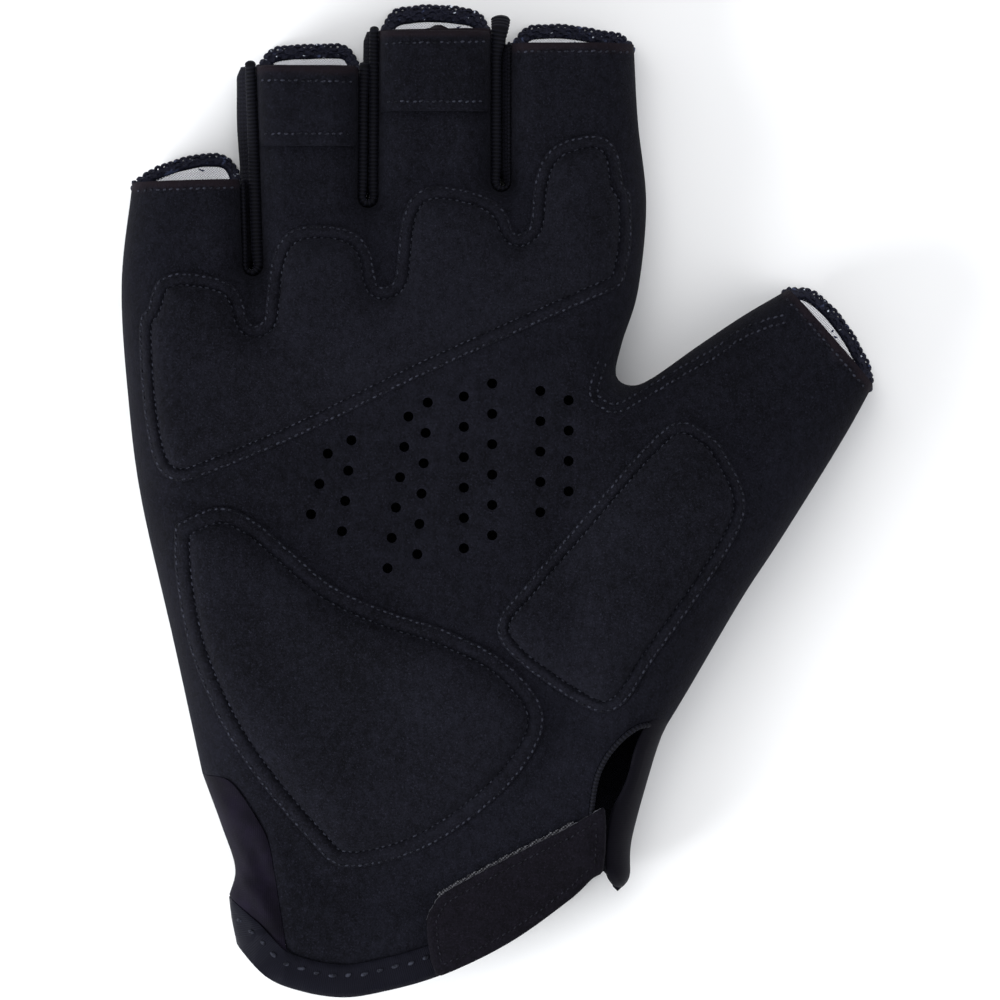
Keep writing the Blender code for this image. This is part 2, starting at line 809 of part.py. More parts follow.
def knuckle_pad_outline():
    """Four lobes over the knuckles, then the right side and the slanting foot."""
    lobes = []
    for left, right in zip(KNUCKLE_PAD_LOBES, KNUCKLE_PAD_LOBES[1:]):
        for turn in np.linspace(-1, 1, 24, endpoint=False):
            valley = left[1] + (right[1] - left[1]) * (turn + 1) / 2
            across = left[0] + (right[0] - left[0]) * (turn + 1) / 2
            reach = min(1, abs(turn) / LOBE_WIDTH)
            lift = (1 - reach**LOBE_SQUARENESS) ** (1 / LOBE_SQUARENESS)
            lobes.append((across, valley + (left[2] + left[3] * turn - valley) * lift))
    lobes.append(KNUCKLE_PAD_LOBES[-1][:2])
    top = even(place(lobes), PAD_FACET)
    side = smooth_line(KNUCKLE_PAD_SIDE, PAD_FACET)
    foot = smooth_line(KNUCKLE_PAD_FOOT, PAD_FACET)
    return join(top, side, foot)


def pull_tab_outline(finger, foot_along):
    """Band across a finger, from its hem down, between the slots on its two sides."""
    number = [slot[1] for slot in SLOTS].index(finger)
    left_slot, right_slot = SLOTS[number : number + 2]
    foot, top = place([(0, foot_along), (0, left_slot[6])])[:, 1]
    top -= TAB_DROP
    left_root, right_root = place([left_slot[2:4], right_slot[2:4]])[:, 1]
    left, right = slots[number : number + 2]
    left = left[(left[:, 0] > left.mean(0)[0]) & (left[:, 1] >= left_root)]
    right = right[(right[:, 0] < right.mean(0)[0]) & (right[:, 1] >= right_root)][::-1]
    corners = []
    for line, inset, heights in ((left, TAB_INSET, (foot, top)), (right, -TAB_INSET, (top, foot))):
        for height in heights:
            corners.append((np.interp(height, line[:, 1], line[:, 0]) + inset, height))
    corners = np.array(corners + corners[:1])
    return join(*(even(corners[k : k + 2], EDGE_FACET) for k in range(4)))


def build_pull_tabs(sheet, outlines):
    high = CLEARANCE + TAB_THICKNESS
    for (finger, _), outline in zip(PULL_TABS, outlines):
        piece = part_of_sheet(sheet, outline)
        palm_patch(f"pull_tab_{finger}", piece, CLEARANCE, high, (0.02, 0.02, 0.03), 0.85)


def build_gusset():
    """Jersey inset that wraps the little finger's side of the wrist."""
    side = cut(gusset_side, start=CLEARANCE)
    edge = gusset_edge(0.0)
    foot = between(moved_right(cuff_line(), CLEARANCE), edge[0], side[0])
    outline = join(side, edge[::-1][1:], foot[1:-1])
    wrapped_patch("side_gusset", outline, outline, GUSSET_WALL, (0.016, 0.013, 0.024), 0.9)


def build_cuff_binding():
    """Wide binding round the wrist mouth, open only at the vent on the palm side."""
    line = cuff_line()[::-1]
    vent = smooth_line(VENT_EDGE)
    vent = cut(vent, start=crossing(vent, line))
    palm_line = between(line, line[0], vent[0])
    palm_mouth = between(wrist_mouth, vent[-1], wrist_mouth[-1])
    tip = between(sides[2], line[-1], sides[2][-1])
    palm = join(cuff_corner, palm_line, palm_mouth)
    back = join(cuff_corner, line, tip[1:], wrist_mouth[1:])
    wrapped_patch("cuff_binding", palm, back, BINDING_WALL, (0.017, 0.017, 0.03), 0.75)


def build_vent_flap():
    """Rolled edge of the back beside the vent, on the palm side of the side seam."""
    edge = smooth_line(FLAP_EDGE)
    side = between(sides[2], edge[0], sides[2][-1] + (0, CLEARANCE))
    outline = join(side, edge[::-1])

    def height(plan):
        return FLAP_RISE * np.clip(distances(plan, sides) / FLAP_RISE, 0, 1)

    sheet = triangulate(outline)
    palm_patch("vent_flap", sheet, -BACK_WALL, height, (0.012, 0.011, 0.02), 0.8)


def build_strap():
    low = CLEARANCE + HOOK_TAPE_THICKNESS + CLEARANCE
    high = low + STRAP_THICKNESS
    sheet = triangulate(strap_outline())
    palm_patch("closure_strap", sheet, low, high, (0.012, 0.012, 0.016), 0.8)


def build_hook_tape():
    upper = cut(smooth_line(STRAP_EDGE), HOOK_TAPE_WIDTH, HOOK_TAPE_WIDTH)
    rim = moved_right(upper, -HOOK_TAPE_SHOWS)
    foot = moved_right(upper, HOOK_TAPE_WIDTH - HOOK_TAPE_SHOWS)
    high = CLEARANCE + HOOK_TAPE_THICKNESS
    sheet = triangulate(join(rim, foot[::-1]))
    palm_patch("hook_tape", sheet, CLEARANCE, high, (0.05, 0.05, 0.06), 0.6)


for leftover in list(bpy.data.objects):
    bpy.data.objects.remove(leftover, do_unlink=True)

whole_outline = join(*with_hems(edges, HEM_ARCH), wrist_mouth)
shared_field = field_points(whole_outline)

pads = {
    "knuckle_pad": knuckle_pad_outline(),
    "heel_pad": join(smooth_line(HEEL_PAD + HEEL_PAD[:1], PAD_FACET)),
    "thumb_pad": join(smooth_line(THUMB_PAD + THUMB_PAD[:1], PAD_FACET)),
}
tabs = [pull_tab_outline(*row) for row in PULL_TABS]
sheet = palm_sheet(list(pads.values()), tabs)
palm_patch("palm_panel", sheet, -PALM_WALL, 0.0, (0.012, 0.012, 0.02), 0.85)
for name, outline in pads.items():
    build_pad(name, sheet, outline)
build_pull_tabs(sheet, tabs)
build_back_panel()
for slot, line in zip(SLOTS, slots):
    build_fourchette(slot, line)
    build_slot_piping(slot, line)
build_finger_trims()
build_gusset()
build_cuff_binding()
build_vent_piping()
build_vent_flap()
build_hook_tape()
build_strap()
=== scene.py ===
import json
import math

import bpy
import numpy as np
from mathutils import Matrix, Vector, noise
from mathutils.bvhtree import BVHTree
from mathutils.geometry import delaunay_2d_cdt
from mathutils.kdtree import KDTree

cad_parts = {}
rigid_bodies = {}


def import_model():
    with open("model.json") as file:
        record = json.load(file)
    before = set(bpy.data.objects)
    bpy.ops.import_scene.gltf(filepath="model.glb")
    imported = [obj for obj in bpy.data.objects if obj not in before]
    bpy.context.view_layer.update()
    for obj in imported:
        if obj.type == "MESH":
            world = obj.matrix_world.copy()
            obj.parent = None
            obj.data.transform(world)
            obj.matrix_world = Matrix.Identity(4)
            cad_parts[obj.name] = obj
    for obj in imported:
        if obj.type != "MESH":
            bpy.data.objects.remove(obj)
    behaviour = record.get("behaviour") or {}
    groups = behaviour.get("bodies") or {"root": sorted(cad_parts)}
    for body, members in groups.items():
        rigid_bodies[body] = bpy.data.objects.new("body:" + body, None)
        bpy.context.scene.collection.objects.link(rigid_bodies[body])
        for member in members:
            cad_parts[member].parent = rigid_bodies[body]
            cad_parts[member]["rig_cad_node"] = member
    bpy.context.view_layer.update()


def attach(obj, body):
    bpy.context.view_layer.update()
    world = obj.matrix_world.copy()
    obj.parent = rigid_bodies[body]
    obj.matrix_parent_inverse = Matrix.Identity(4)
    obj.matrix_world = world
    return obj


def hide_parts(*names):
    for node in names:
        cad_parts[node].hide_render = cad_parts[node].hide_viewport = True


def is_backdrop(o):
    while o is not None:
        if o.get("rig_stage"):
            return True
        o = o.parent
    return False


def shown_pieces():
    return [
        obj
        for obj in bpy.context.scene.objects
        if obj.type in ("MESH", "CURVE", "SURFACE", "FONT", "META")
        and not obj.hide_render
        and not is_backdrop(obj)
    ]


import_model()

# The glove lies on its back with the palm up: X to the thumb, Y to the fingertips, Z out of the palm.
# Plan tables give shares: across is a share of the palm's width, along a share of the glove's length.
glove = {
    "length": 0.191,
    "width": 0.100,
    "thickness": 0.026,
    "thumbThickness": 0.0185,
    "originAlong": 0.45,
    "sideRound": 0.0095,  # how far in from a side seam the glove rounds over
    "slotRound": 0.0055,
    "seamShare": 0.50,  # height of a side seam, as a share of the thickness there
    "slotDrop": 0.32,
    "slotRise": 0.28,
    "gap": 0.0003,
}

print("camera and light")
picture = {"wide": 0.1923, "middle": (0.0221, 0.0098), "high": 1.6, "level": 0.014}

bpy.ops.object.select_all(action="DESELECT")
bpy.ops.object.camera_add(location=(*picture["middle"], picture["high"]), rotation=(0, 0, 0))
camera = bpy.context.object
camera.data.sensor_width = 36
camera.data.lens = 36 * (picture["high"] - picture["level"]) / picture["wide"]
camera.data.clip_end = 10
bpy.context.scene.camera = camera

studio = [
    # name, place, size, power, colour
    ("topLight", (-0.15, 0.45, 1.15), 0.8, 4.5, (1.0, 0.99, 0.98)),
    ("leftLight", (-0.46, -0.26, 0.25), 0.3, 4.4, (0.96, 0.98, 1.0)),
    ("rightLight", (0.95, -0.10, 0.70), 0.8, 3.5, (1.0, 0.99, 0.98)),
]
for name, spot, size, power, colour in studio:
    bpy.ops.object.light_add(type="AREA", location=spot)
    lamp = bpy.context.object
    lamp.name = name
    lamp.data.size = size
    lamp.data.energy = power
    lamp.data.color = colour
    lamp.rotation_euler = Vector(spot).to_track_quat("Z", "Y").to_euler()
world = bpy.data.worlds.new("studioAir")
world.use_nodes = True
world.node_tree.nodes["Background"].inputs["Color"].default_value = (0.95, 0.97, 1.0, 1)
world.node_tree.nodes["Background"].inputs["Strength"].default_value = 0.75
bpy.context.scene.world = world
bpy.context.scene.view_settings.view_transform = "Standard"


# Materials
class Wire:
    # one socket of a material's nodes: plain maths on it adds Math nodes
    def __init__(self, tree, socket):
        self.tree = tree
        self.socket = socket

    def node(self, kind, settings=None, inputs=None, output=0):
        made = self.tree.nodes.new(kind)
        for key, value in (settings or {}).items():
            setattr(made, key, value)
        for key, value in (inputs or {}).items():
            if isinstance(value, Wire):
                self.tree.links.new(value.socket, made.inputs[key])
            else:
                made.inputs[key].default_value = value
        return Wire(self.tree, made.outputs[output])

    def maths(self, operation, first, second=0.0):
        return self.node("ShaderNodeMath", {"operation": operation}, {0: first, 1: second})

    def __add__(self, other):
        return self.maths("ADD", self, other)

    __radd__ = __add__

    def __sub__(self, other):
        return self.maths("SUBTRACT", self, other)

    def __rsub__(self, other):
        return self.maths("SUBTRACT", other, self)

    def __mul__(self, other):
        return self.maths("MULTIPLY", self, other)

    __rmul__ = __mul__

    def __truediv__(self, other):
        return self.maths("DIVIDE", self, other)

    def __pow__(self, other):
        return self.maths("POWER", self, other)

    def sine(self):
        return self.maths("SINE", self)

    def size(self):
        return self.maths("ABSOLUTE", self)

    def between(self, low, high):
        settings = {"interpolation_type": "SMOOTHSTEP"}
        return self.node("ShaderNodeMapRange", settings, {"Value": self, "From Min": low, "From Max": high})

    def scaled(self, factor):
        settings = {"operation": "SCALE"}
        return self.node("ShaderNodeVectorMath", settings, {0: self, "Scale": factor})

    def stretched(self, factors):
        settings = {"operation": "MULTIPLY"}
        return self.node("ShaderNodeVectorMath", settings, {0: self, 1: factors})

    def part(self, axis):
        return self.node("ShaderNodeSeparateXYZ", None, {0: self}, axis)

    def farFrom(self, spot):
        return self.node("ShaderNodeVectorMath", {"operation": "DISTANCE"}, {0: self, 1: spot}, 1)

    def grain(self, scale, detail=3.0, roughness=0.55):
        inputs = {"Vector": self, "Scale": scale, "Detail": detail, "Roughness": roughness}
        return self.node("ShaderNodeTexNoise", None, inputs)

    def mix(self, first, second):
        # this wire is the share of the second colour
        inputs = {0: self, 6: first, 7: second}
        return self.node("ShaderNodeMix", {"data_type": "RGBA"}, inputs, 2)


def newMaterial(name, coordinates="Object"):
    # coordinates come back in millimetres
    material = bpy.data.materials.new(name)
    material.use_nodes = True
    tree = material.node_tree
    source = tree.nodes.new("ShaderNodeTexCoord")
    here = Wire(tree, source.outputs[coordinates]).scaled(1000 if coordinates == "Object" else 100)
    return material, here, tree.nodes["Principled BSDF"]


def dress(shader, here, colour, rough, height, depth):
    tree = here.tree
    bump = here.node("ShaderNodeBump", None, {"Strength": 1.0, "Distance": depth, "Height": height})
    tree.links.new(bump.socket, shader.inputs["Normal"])
    for name, value in (("Base Color", colour), ("Roughness", rough)):
        if isinstance(value, Wire):
            tree.links.new(value.socket, shader.inputs[name])
        else:
            shader.inputs[name].default_value = value


def matt(shader, gloss, sheen=0.0):
    # dark cloth takes up nearly all light, so its gloss is far below a plastic's
    shader.inputs["Specular IOR Level"].default_value = gloss
    shader.inputs["Sheen Weight"].default_value = sheen
    shader.inputs["Sheen Roughness"].default_value = 0.45
    shader.inputs["Sheen Tint"].default_value = (0.75, 0.76, 1.0, 1)


def suede(name, dark, light, nap=0.00022):
    # short nap: fine fibres, larger brushed patches, a few pale fibre ends and browner cloth on the folded hems
    material, here, shader = newMaterial(name)
    fibre = here.grain(2.4, 4.0, 0.7)
    clump = here.stretched((1.0, 0.7, 1.0)).grain(0.75, 3.0, 0.6)
    patch = here.grain(0.10, 3.0, 0.6)
    ends = here.grain(2.8, 2.0, 0.5).between(0.58, 0.72)
    broad = here.grain(0.022, 2.0, 0.5)
    tone = (fibre * 0.46 + clump * 0.26 + patch * 0.10 + broad * 0.18).between(0.36, 0.66)
    base = tone.mix(dark, light)
    colour = (ends * 0.45).mix(base, tuple(c * 2.2 for c in light[:3]) + (1,))
    fold = here.node("ShaderNodeAttribute", {"attribute_name": "hemFold"}, None, 2)
    brown = (light[0] * 1.9, light[1] * 1.15, light[2] * 0.9, 1)
    colour = (fold * 0.5).mix(colour, brown)
    height = fibre * 0.6 + clump * 0.6
    dress(shader, here, colour, 0.82 + tone * 0.14, height, nap)
    matt(shader, 0.06, 0.012)
    return material


def knit(name, dark, light, wale, course, depth, shows=0.55):
    # rows of V loops on the piece's own UV, whose unit is ten centimetres
    material, here, shader = newMaterial(name, "UV")
    column = here.part(0) * (2 * math.pi / wale)
    leg = (column * 0.5).sine().size()
    row = here.part(1) * (2 * math.pi / course)
    loops = ((row + leg * 2.2).sine() + 1) * 0.5
    loose = here.grain(0.16, 3.0, 0.6)
    fuzz = here.grain(3.5, 3.0, 0.6)
    height = leg * 0.65 + loops * 0.45 + fuzz * 0.25
    tone = (height * shows + loose * (1.1 - shows)).between(0.30, 0.95)
    dress(shader, here, tone.mix(dark, light), fuzz * 0.15 + 0.75, height, depth)
    matt(shader, 0.10, 0.015)
    return material


def ribbon(name, dark, light, rib, depth, gloss=0.14, rough=0.55):
    # ribs across the length, which runs along the UV's first direction
    material, here, shader = newMaterial(name, "UV")
    ribs = ((here.part(0) * (2 * math.pi / rib)).sine() + 1) * 0.5
    twist = here.stretched((3.0, 0.6, 1.0)).grain(1.6, 3.0, 0.6)
    wear = here.grain(0.25, 3.0, 0.6)
    tone = (ribs * 0.5 + twist * 0.35 + wear * 0.3).between(0.25, 0.95)
    dress(shader, here, tone.mix(dark, light), rough + twist * 0.2, ribs + twist * 0.3, depth)
    matt(shader, gloss, 0.015)
    return material


def yarn(name, dark, light, scale=2.5, rough=0.55):
    # twisted thread, seen close up only as a fine slant
    material, here, shader = newMaterial(name)
    twist = here.grain(scale, 3.0, 0.7)
    shade = here.grain(0.5, 2.0, 0.5)
    tone = (twist * 0.7 + shade * 0.3).between(0.38, 0.62)
    dress(shader, here, tone.mix(dark, light), rough + twist * 0.2, twist, 0.00010)
    matt(shader, 0.10)
    return material


def speckledYarn(name):
    # navy edging yarn with pale blue and white flecks
    material, here, shader = newMaterial(name)
    twist = here.grain(2.2, 3.0, 0.7)
    pale = here.grain(0.50, 2.0, 0.5).between(0.63, 0.72)
    white = here.grain(0.80, 2.0, 0.5).between(0.69, 0.73)
    navy = twist.between(0.3, 0.7).mix((0.0020, 0.0022, 0.007, 1), (0.010, 0.011, 0.026, 1))
    flecked = (pale * 0.6).mix(navy, (0.07, 0.09, 0.18, 1))
    colour = (white * 0.9).mix(flecked, (0.66, 0.72, 0.84, 1))
    dress(shader, here, colour, 0.75, twist, 0.00012)
    matt(shader, 0.20)
    return material


def fleckedLining(name):
    # white knitted facing with sparse navy flecks behind the finger openings; further in, painted shade: near-black
    # colour for the dark hollow inside the glove
    material, here, shader = newMaterial(name)
    weave = (here.part(0) * 12.0).sine() * (here.part(1) * 13.0).sine()
    soft = here.grain(0.35, 3.0, 0.6)
    fleck = here.stretched((0.8, 1.3, 1.0)).grain(0.62, 2.0, 0.5).between(0.66, 0.69)
    white = soft.mix((0.78, 0.79, 0.84, 1), (0.90, 0.90, 0.93, 1))
    facing = fleck.mix(white, (0.03, 0.035, 0.08, 1))
    # painted shade: this near-black colour stands in for the shade inside the glove, seen through the holes and
    # openings
    mesh = soft.mix((0.003, 0.003, 0.005, 1), (0.010, 0.010, 0.016, 1))
    # the painted shade covers all within about 79 mm of a spot in the middle of the palm; the white facing lies
    # beyond it, at the finger openings
    reach = here.stretched((1.0, 1.0, 0.0)).farFrom((10.0, -10.0, 0.0)).between(78.0, 80.0)
    dress(shader, here, reach.mix(mesh, facing), 0.85, weave + soft, 0.00010)
    matt(shader, 0.05)
    return material


def hookTape(name):
    # pale woven tape with a field of small hooks
    material, here, shader = newMaterial(name)
    hooks = (here.part(0) * 9.0).sine() * (here.part(1) * 9.0).sine()
    rough = here.grain(1.5, 3.0, 0.6)
    tone = (hooks * 0.3 + rough).between(0.2, 0.9)
    colour = tone.mix((0.005, 0.005, 0.007, 1), (0.075, 0.075, 0.088, 1))
    dress(shader, here, colour, 0.5, hooks + rough, 0.00012)
    matt(shader, 0.3)
    return material


print("materials")
finish = {
    "palm": suede("palmSuede", (0.0009, 0.0009, 0.0019, 1), (0.0070, 0.0072, 0.0116, 1)),
    # painted sheen: the pads' suede is the palm's suede made a little lighter, for the sheen on the raised pads
    "pad": suede("padSuedePaintedSheen", (0.0011, 0.0011, 0.0021, 1), (0.0081, 0.0083, 0.0130, 1)),
    "strap": suede("strapSuede", (0.0010, 0.0008, 0.0016, 1), (0.0058, 0.0050, 0.0082, 1), 0.00014),
    "back": knit("backKnit", (0.004, 0.005, 0.012, 1), (0.016, 0.020, 0.042, 1), 0.9, 0.75, 0.00016),
    "side": knit("sideKnit", (0.0014, 0.0014, 0.0026, 1), (0.0060, 0.0060, 0.0105, 1), 0.8, 0.7, 0.00012),
    "jersey": knit("jersey", (0.0006, 0.0002, 0.0022, 1), (0.0044, 0.0024, 0.0096, 1), 0.42, 0.38, 0.00004, 0.05),
    "cuff": ribbon("cuffRibbon", (0.0018, 0.0018, 0.0038, 1), (0.0042, 0.0043, 0.0092, 1), 0.42, 0.00003, 0.06),
    "piping": ribbon("piping", (0.0014, 0.0014, 0.0026, 1), (0.0058, 0.0060, 0.0105, 1), 0.75, 0.00007, 0.08),
    "flap": ribbon("flapBinding", (0.0016, 0.0014, 0.0030, 1), (0.0028, 0.0025, 0.0050, 1), 0.45, 0.00001, 0.05, 0.6),
    "thread": yarn("stitchThread", (0.002, 0.0022, 0.004, 1), (0.028, 0.030, 0.043, 1), 1.1, 0.7),
    "strapThread": yarn("strapThread", (0.002, 0.002, 0.003, 1), (0.012, 0.012, 0.018, 1), 1.1, 0.7),
    # light-grey cut edge, partly painted highlight: its pale colour also stands in for the highlight along the
    # strap's upper rim
    "edge": yarn("cutEdgeAndPaintedHighlight", (0.006, 0.006, 0.008, 1), (0.060, 0.060, 0.070, 1), 0.9),
    "trim": speckledYarn("speckledTrim"),
    "lining": fleckedLining("fleckedLining"),
    "hook": hookTape("hookTape"),
}

# Side outlines, clockwise, in shares
cuffCorner = [(-0.287, 0.053), (-0.297, 0.079), (-0.302, 0.101)]
gussetSide = [(-0.302, 0.101), (-0.290, 0.130), (-0.316, 0.173), (-0.352, 0.225)]
littleFingerSide = [
    (-0.352, 0.225), (-0.408, 0.361), (-0.469, 0.502), (-0.494, 0.602), (-0.508, 0.718), (-0.488, 0.821),
]
crotchSide = [
    (0.479, 0.961), (0.487, 0.884), (0.503, 0.800), (0.487, 0.713), (0.456, 0.660), (0.444, 0.628),
    (0.469, 0.617), (0.510, 0.623), (0.606, 0.658), (0.692, 0.688), (0.777, 0.714),
]
thumbSide = [
    (0.940, 0.617), (0.881, 0.562), (0.760, 0.461), (0.685, 0.401), (0.581, 0.308), (0.537, 0.270),
]
flapSide = [(0.537, 0.270), (0.517, 0.240), (0.475, 0.159), (0.471, 0.121), (0.448, 0.106)]
wristMouth = [
    (0.448, 0.106), (0.413, 0.126), (0.360, 0.102), (0.240, 0.057), (0.106, 0.023),
    (-0.010, 0.006), (-0.087, 0.001), (-0.167, 0.008), (-0.229, 0.022), (-0.287, 0.053),
]
fingers = ("pinky", "ring", "middle", "index", "thumb")
# rise of the back's hem beyond the palm's at five places from left to right, and the width of its trim
hemRows = {
    "pinky": ((0.0022, 0.0040, 0.0051, 0.0056, 0.0047), 0.0024),
    "ring": ((0.0036, 0.0046, 0.0048, 0.0050, 0.0044), 0.0027),
    "middle": ((0.0044, 0.0054, 0.0055, 0.0051, 0.0040), 0.0033),
    "index": ((0.0036, 0.0043, 0.0041, 0.0033, 0.0024), 0.0026),
    "thumb": ((0.0034, 0.0045, 0.0044, 0.0036, 0.0022), 0.0025),
}
# left finger, right finger, root across, root along, tip across, along of the left hem, of the right hem
slotRows = [
    ("pinky", "ring", -0.254, 0.737, -0.268, 0.824, 0.939),
    ("ring", "middle", -0.033, 0.806, -0.031, 0.937, 0.974),
    ("middle", "index", 0.223, 0.822, 0.223, 0.976, 0.961),
]
slotHalf = 0.0020
thicknessRows = [
    (0.00, 0.60), (0.12, 0.66), (0.25, 0.86), (0.38, 0.97), (0.52, 1.00),
    (0.64, 0.96), (0.74, 0.82), (0.84, 0.70), (1.00, 0.65),
]
thumbAxis = [(0.567, 0.532), (0.860, 0.666)]
# across, along, half width, half length, depth as a share of the thickness
palmDents = [
    (0.06, 0.50, 0.22, 0.09, 0.11), (0.36, 0.40, 0.06, 0.16, 0.07),
    (-0.02, 0.28, 0.16, 0.05, 0.05), (0.55, 0.60, 0.10, 0.05, 0.06),
]
gussetEdge = [
    (-0.186, 0.036), (-0.212, 0.125), (-0.225, 0.160), (-0.252, 0.187), (-0.298, 0.219), (-0.352, 0.225),
]
ventEdge = [
    (0.508, 0.279), (0.481, 0.276), (0.444, 0.261), (0.412, 0.238), (0.394, 0.205), (0.380, 0.120),
]
flapEdge = [
    (0.546, 0.2800), (0.522, 0.2820), (0.503, 0.2775), (0.488, 0.2640), (0.476, 0.2470), (0.468, 0.2280),
    (0.455, 0.2100), (0.442, 0.1980), (0.431, 0.1830), (0.424, 0.1590), (0.422, 0.1320), (0.430, 0.1160),
]


def place(rows):
    shares = np.array(rows, float)
    along = (shares[:, 1] - glove["originAlong"]) * glove["length"]
    return np.column_stack([shares[:, 0] * glove["width"], along])


def arcLengths(line):
    steps = np.linalg.norm(np.diff(line, axis=0), axis=1)
    return np.concatenate([[0.0], np.cumsum(steps)])


def evenly(line, facet):
    lengths = arcLengths(line)
    count = max(1, math.ceil(lengths[-1] / facet - 0.01))
    stations = np.linspace(0, lengths[-1], count + 1)
    return np.column_stack([np.interp(stations, lengths, column) for column in line.T])


def curveThrough(points, facet):
    ends = 2 * points[[0, -1]] - points[[1, -2]]
    padded = np.vstack([ends[:1], points, ends[1:]])
    dense = []
    for before, start, end, after in zip(padded, padded[1:], padded[2:], padded[3:]):
        for t in np.linspace(0, 1, 16, endpoint=False):
            bend = 2 * before - 5 * start + 4 * end - after
            twist = -before + 3 * start - 3 * end + after
            dense.append(start + 0.5 * ((end - before) * t + bend * t**2 + twist * t**3))
    dense.append(points[-1])
    return evenly(np.array(dense), facet)


def smoothLine(rows, facet=0.0009):
    return curveThrough(place(rows), facet)


def join(*lines, merge=0.00008):
    # one line out of several: points closer together than merge are one
    points = [lines[0][0]]
    for line in lines:
        for point in line:
            if np.linalg.norm(point - points[-1]) > merge:
                points.append(point)
    if np.linalg.norm(points[0] - points[-1]) < merge:
        points.pop()
    return np.array(points)


def rightNormals(line):
    along = np.gradient(line, axis=0)
    along /= np.linalg.norm(along, axis=1)[:, None]
    return np.column_stack([along[:, 1], -along[:, 0]])


def movedRight(line, distance):
    return line + rightNormals(line) * distance


def closedUp(outline):
    return np.vstack([outline, outline[:1]])


def cut(line, start=0.0, end=0.0, spare=0.00015):
    # the line without its first and last stretch, and without corners right beside the new ends
    lengths = arcLengths(line)
    high = lengths[-1] - end
    stations = lengths[(lengths > start + spare) & (lengths < high - spare)]
    stations = np.concatenate([[start], stations, [high]])
    return np.column_stack([np.interp(stations, lengths, column) for column in line.T])


def stationOf(line, point):
    fine = evenly(line, 0.0002)
    return arcLengths(fine)[np.argmin(np.linalg.norm(fine - point, axis=1))]


def between(line, first, last):
    return cut(line, stationOf(line, first), arcLengths(line)[-1] - stationOf(line, last))


def nearestOf(points, corners):
    # the number of the corner that is nearest to each point
    tree = KDTree(len(corners))
    for number, (x, y) in enumerate(corners):
        tree.insert((x, y, 0), number)
    tree.balance()
    return np.array([tree.find((x, y, 0))[1] for x, y in points])


def distances(points, lines):
    # exact distance to the nearest line: its nearest corner first, then the stretches beside it
    allCorners = np.vstack(lines)
    before = np.vstack([np.vstack([line[:1], line[:-1]]) for line in lines])
    after = np.vstack([np.vstack([line[1:], line[-1:]]) for line in lines])
    near = nearestOf(points, allCorners)
    best = np.linalg.norm(points - allCorners[near], axis=1)
    for other in (before, after):
        start = allCorners[near]
        run = other[near] - start
        share = ((points - start) * run).sum(1) / np.maximum((run**2).sum(1), 1e-18)
        spot = start + np.clip(share, 0, 1)[:, None] * run
        best = np.minimum(best, np.linalg.norm(points - spot, axis=1))
    return best


def crossing(line, other):
    fine = evenly(line, 0.00015)
    return arcLengths(fine)[distances(fine, [evenly(other, 0.0005)]).argmin()]


def inside(points, outline):
    found = np.zeros(len(points), bool)
    for start, end in zip(outline, np.roll(outline, -1, axis=0)):
        rise = end[1] - start[1]
        if rise == 0:
            continue
        crosses = (start[1] > points[:, 1]) != (end[1] > points[:, 1])
        found ^= crosses & (points[:, 0] < start[0] + (points[:, 1] - start[1]) * (end[0] - start[0]) / rise)
    return found


def slotLine(row):
    root, tip = place([(row[2], row[3]), (row[4], row[6])])
    leftTop, rightTop = place([(0, row[5]), (0, row[6])])[:, 1]
    lean = (tip[0] - root[0]) / (tip[1] - root[1])
    left = [(root[0] + lean * (leftTop - root[1]) - slotHalf, leftTop), (root[0] - slotHalf, root[1])]
    right = [(root[0] + slotHalf, root[1]), (root[0] + lean * (rightTop - root[1]) + slotHalf, rightTop)]
    turns = np.linspace(math.pi, 2 * math.pi, 9)
    cap = np.column_stack([np.cos(turns), np.sin(turns)]) * slotHalf + root
    return join(evenly(np.array(left), 0.0009), cap, evenly(np.array(right), 0.0009))


def swell(distance, reach):
    left = 1 - np.clip(distance / reach, 0, 1)
    return 1 - np.sqrt(np.maximum(0, 1 - left**2))


def ease(value):
    value = np.clip(value, 0, 1)
    return value * value * (3 - 2 * value)


def wander(points, size, seed):
    return np.array([noise.noise(Vector((x / size, y / size, seed))) for x, y in points[:, :2]])


print("pattern lines")
slots = [slotLine(row) for row in slotRows]
crotch = smoothLine(crotchSide)
rightSide = join(smoothLine(thumbSide), smoothLine(flapSide))
leftSide = join(smoothLine(cuffCorner), smoothLine(gussetSide), smoothLine(littleFingerSide))
mouth = smoothLine(wristMouth)
sides = [leftSide, crotch, rightSide]
edges = [leftSide, *slots, crotch, rightSide]


def thickness(points):
    rows = np.array(thicknessRows)
    along = points[:, 1] / glove["length"] + glove["originAlong"]
    hand = np.interp(along, rows[:, 0], rows[:, 1]) * glove["thickness"]
    root, tip = place(thumbAxis)
    run = tip - root
    length = np.linalg.norm(run)
    reached = (points - root) @ run / length**2
    aside = np.abs((points - root) @ np.array([-run[1], run[0]]) / length)
    weight = ease(reached) * (1 - ease((aside - 0.014) / 0.010))
    return hand * (1 - weight) + glove["thumbThickness"] * weight


def levels(points, sideGap=None, slotGap=None):
    # heights of the palm side and of the back over each plan point
    total = thickness(points)
    sideGap = distances(points, sides) if sideGap is None else sideGap
    slotGap = distances(points, slots) if slotGap is None else slotGap
    side = swell(sideGap, glove["sideRound"])
    slot = swell(slotGap, glove["slotRound"])
    palm = total * (1 - (1 - glove["seamShare"]) * side) * (1 - glove["slotDrop"] * slot)
    depth = np.zeros(len(points))
    for across, along, halfWidth, halfLength, share in palmDents:
        centre = place([(across, along)])[0]
        away = (points - centre) / (halfWidth * glove["width"], halfLength * glove["length"])
        depth += share * total * np.exp(-(away**2).sum(1))
    palm -= depth * (1 - side) * (1 - slot)
    back = total * (1 - (1 - glove["seamShare"] * side) * (1 - glove["slotRise"] * slot))
    return palm + glove["gap"], back


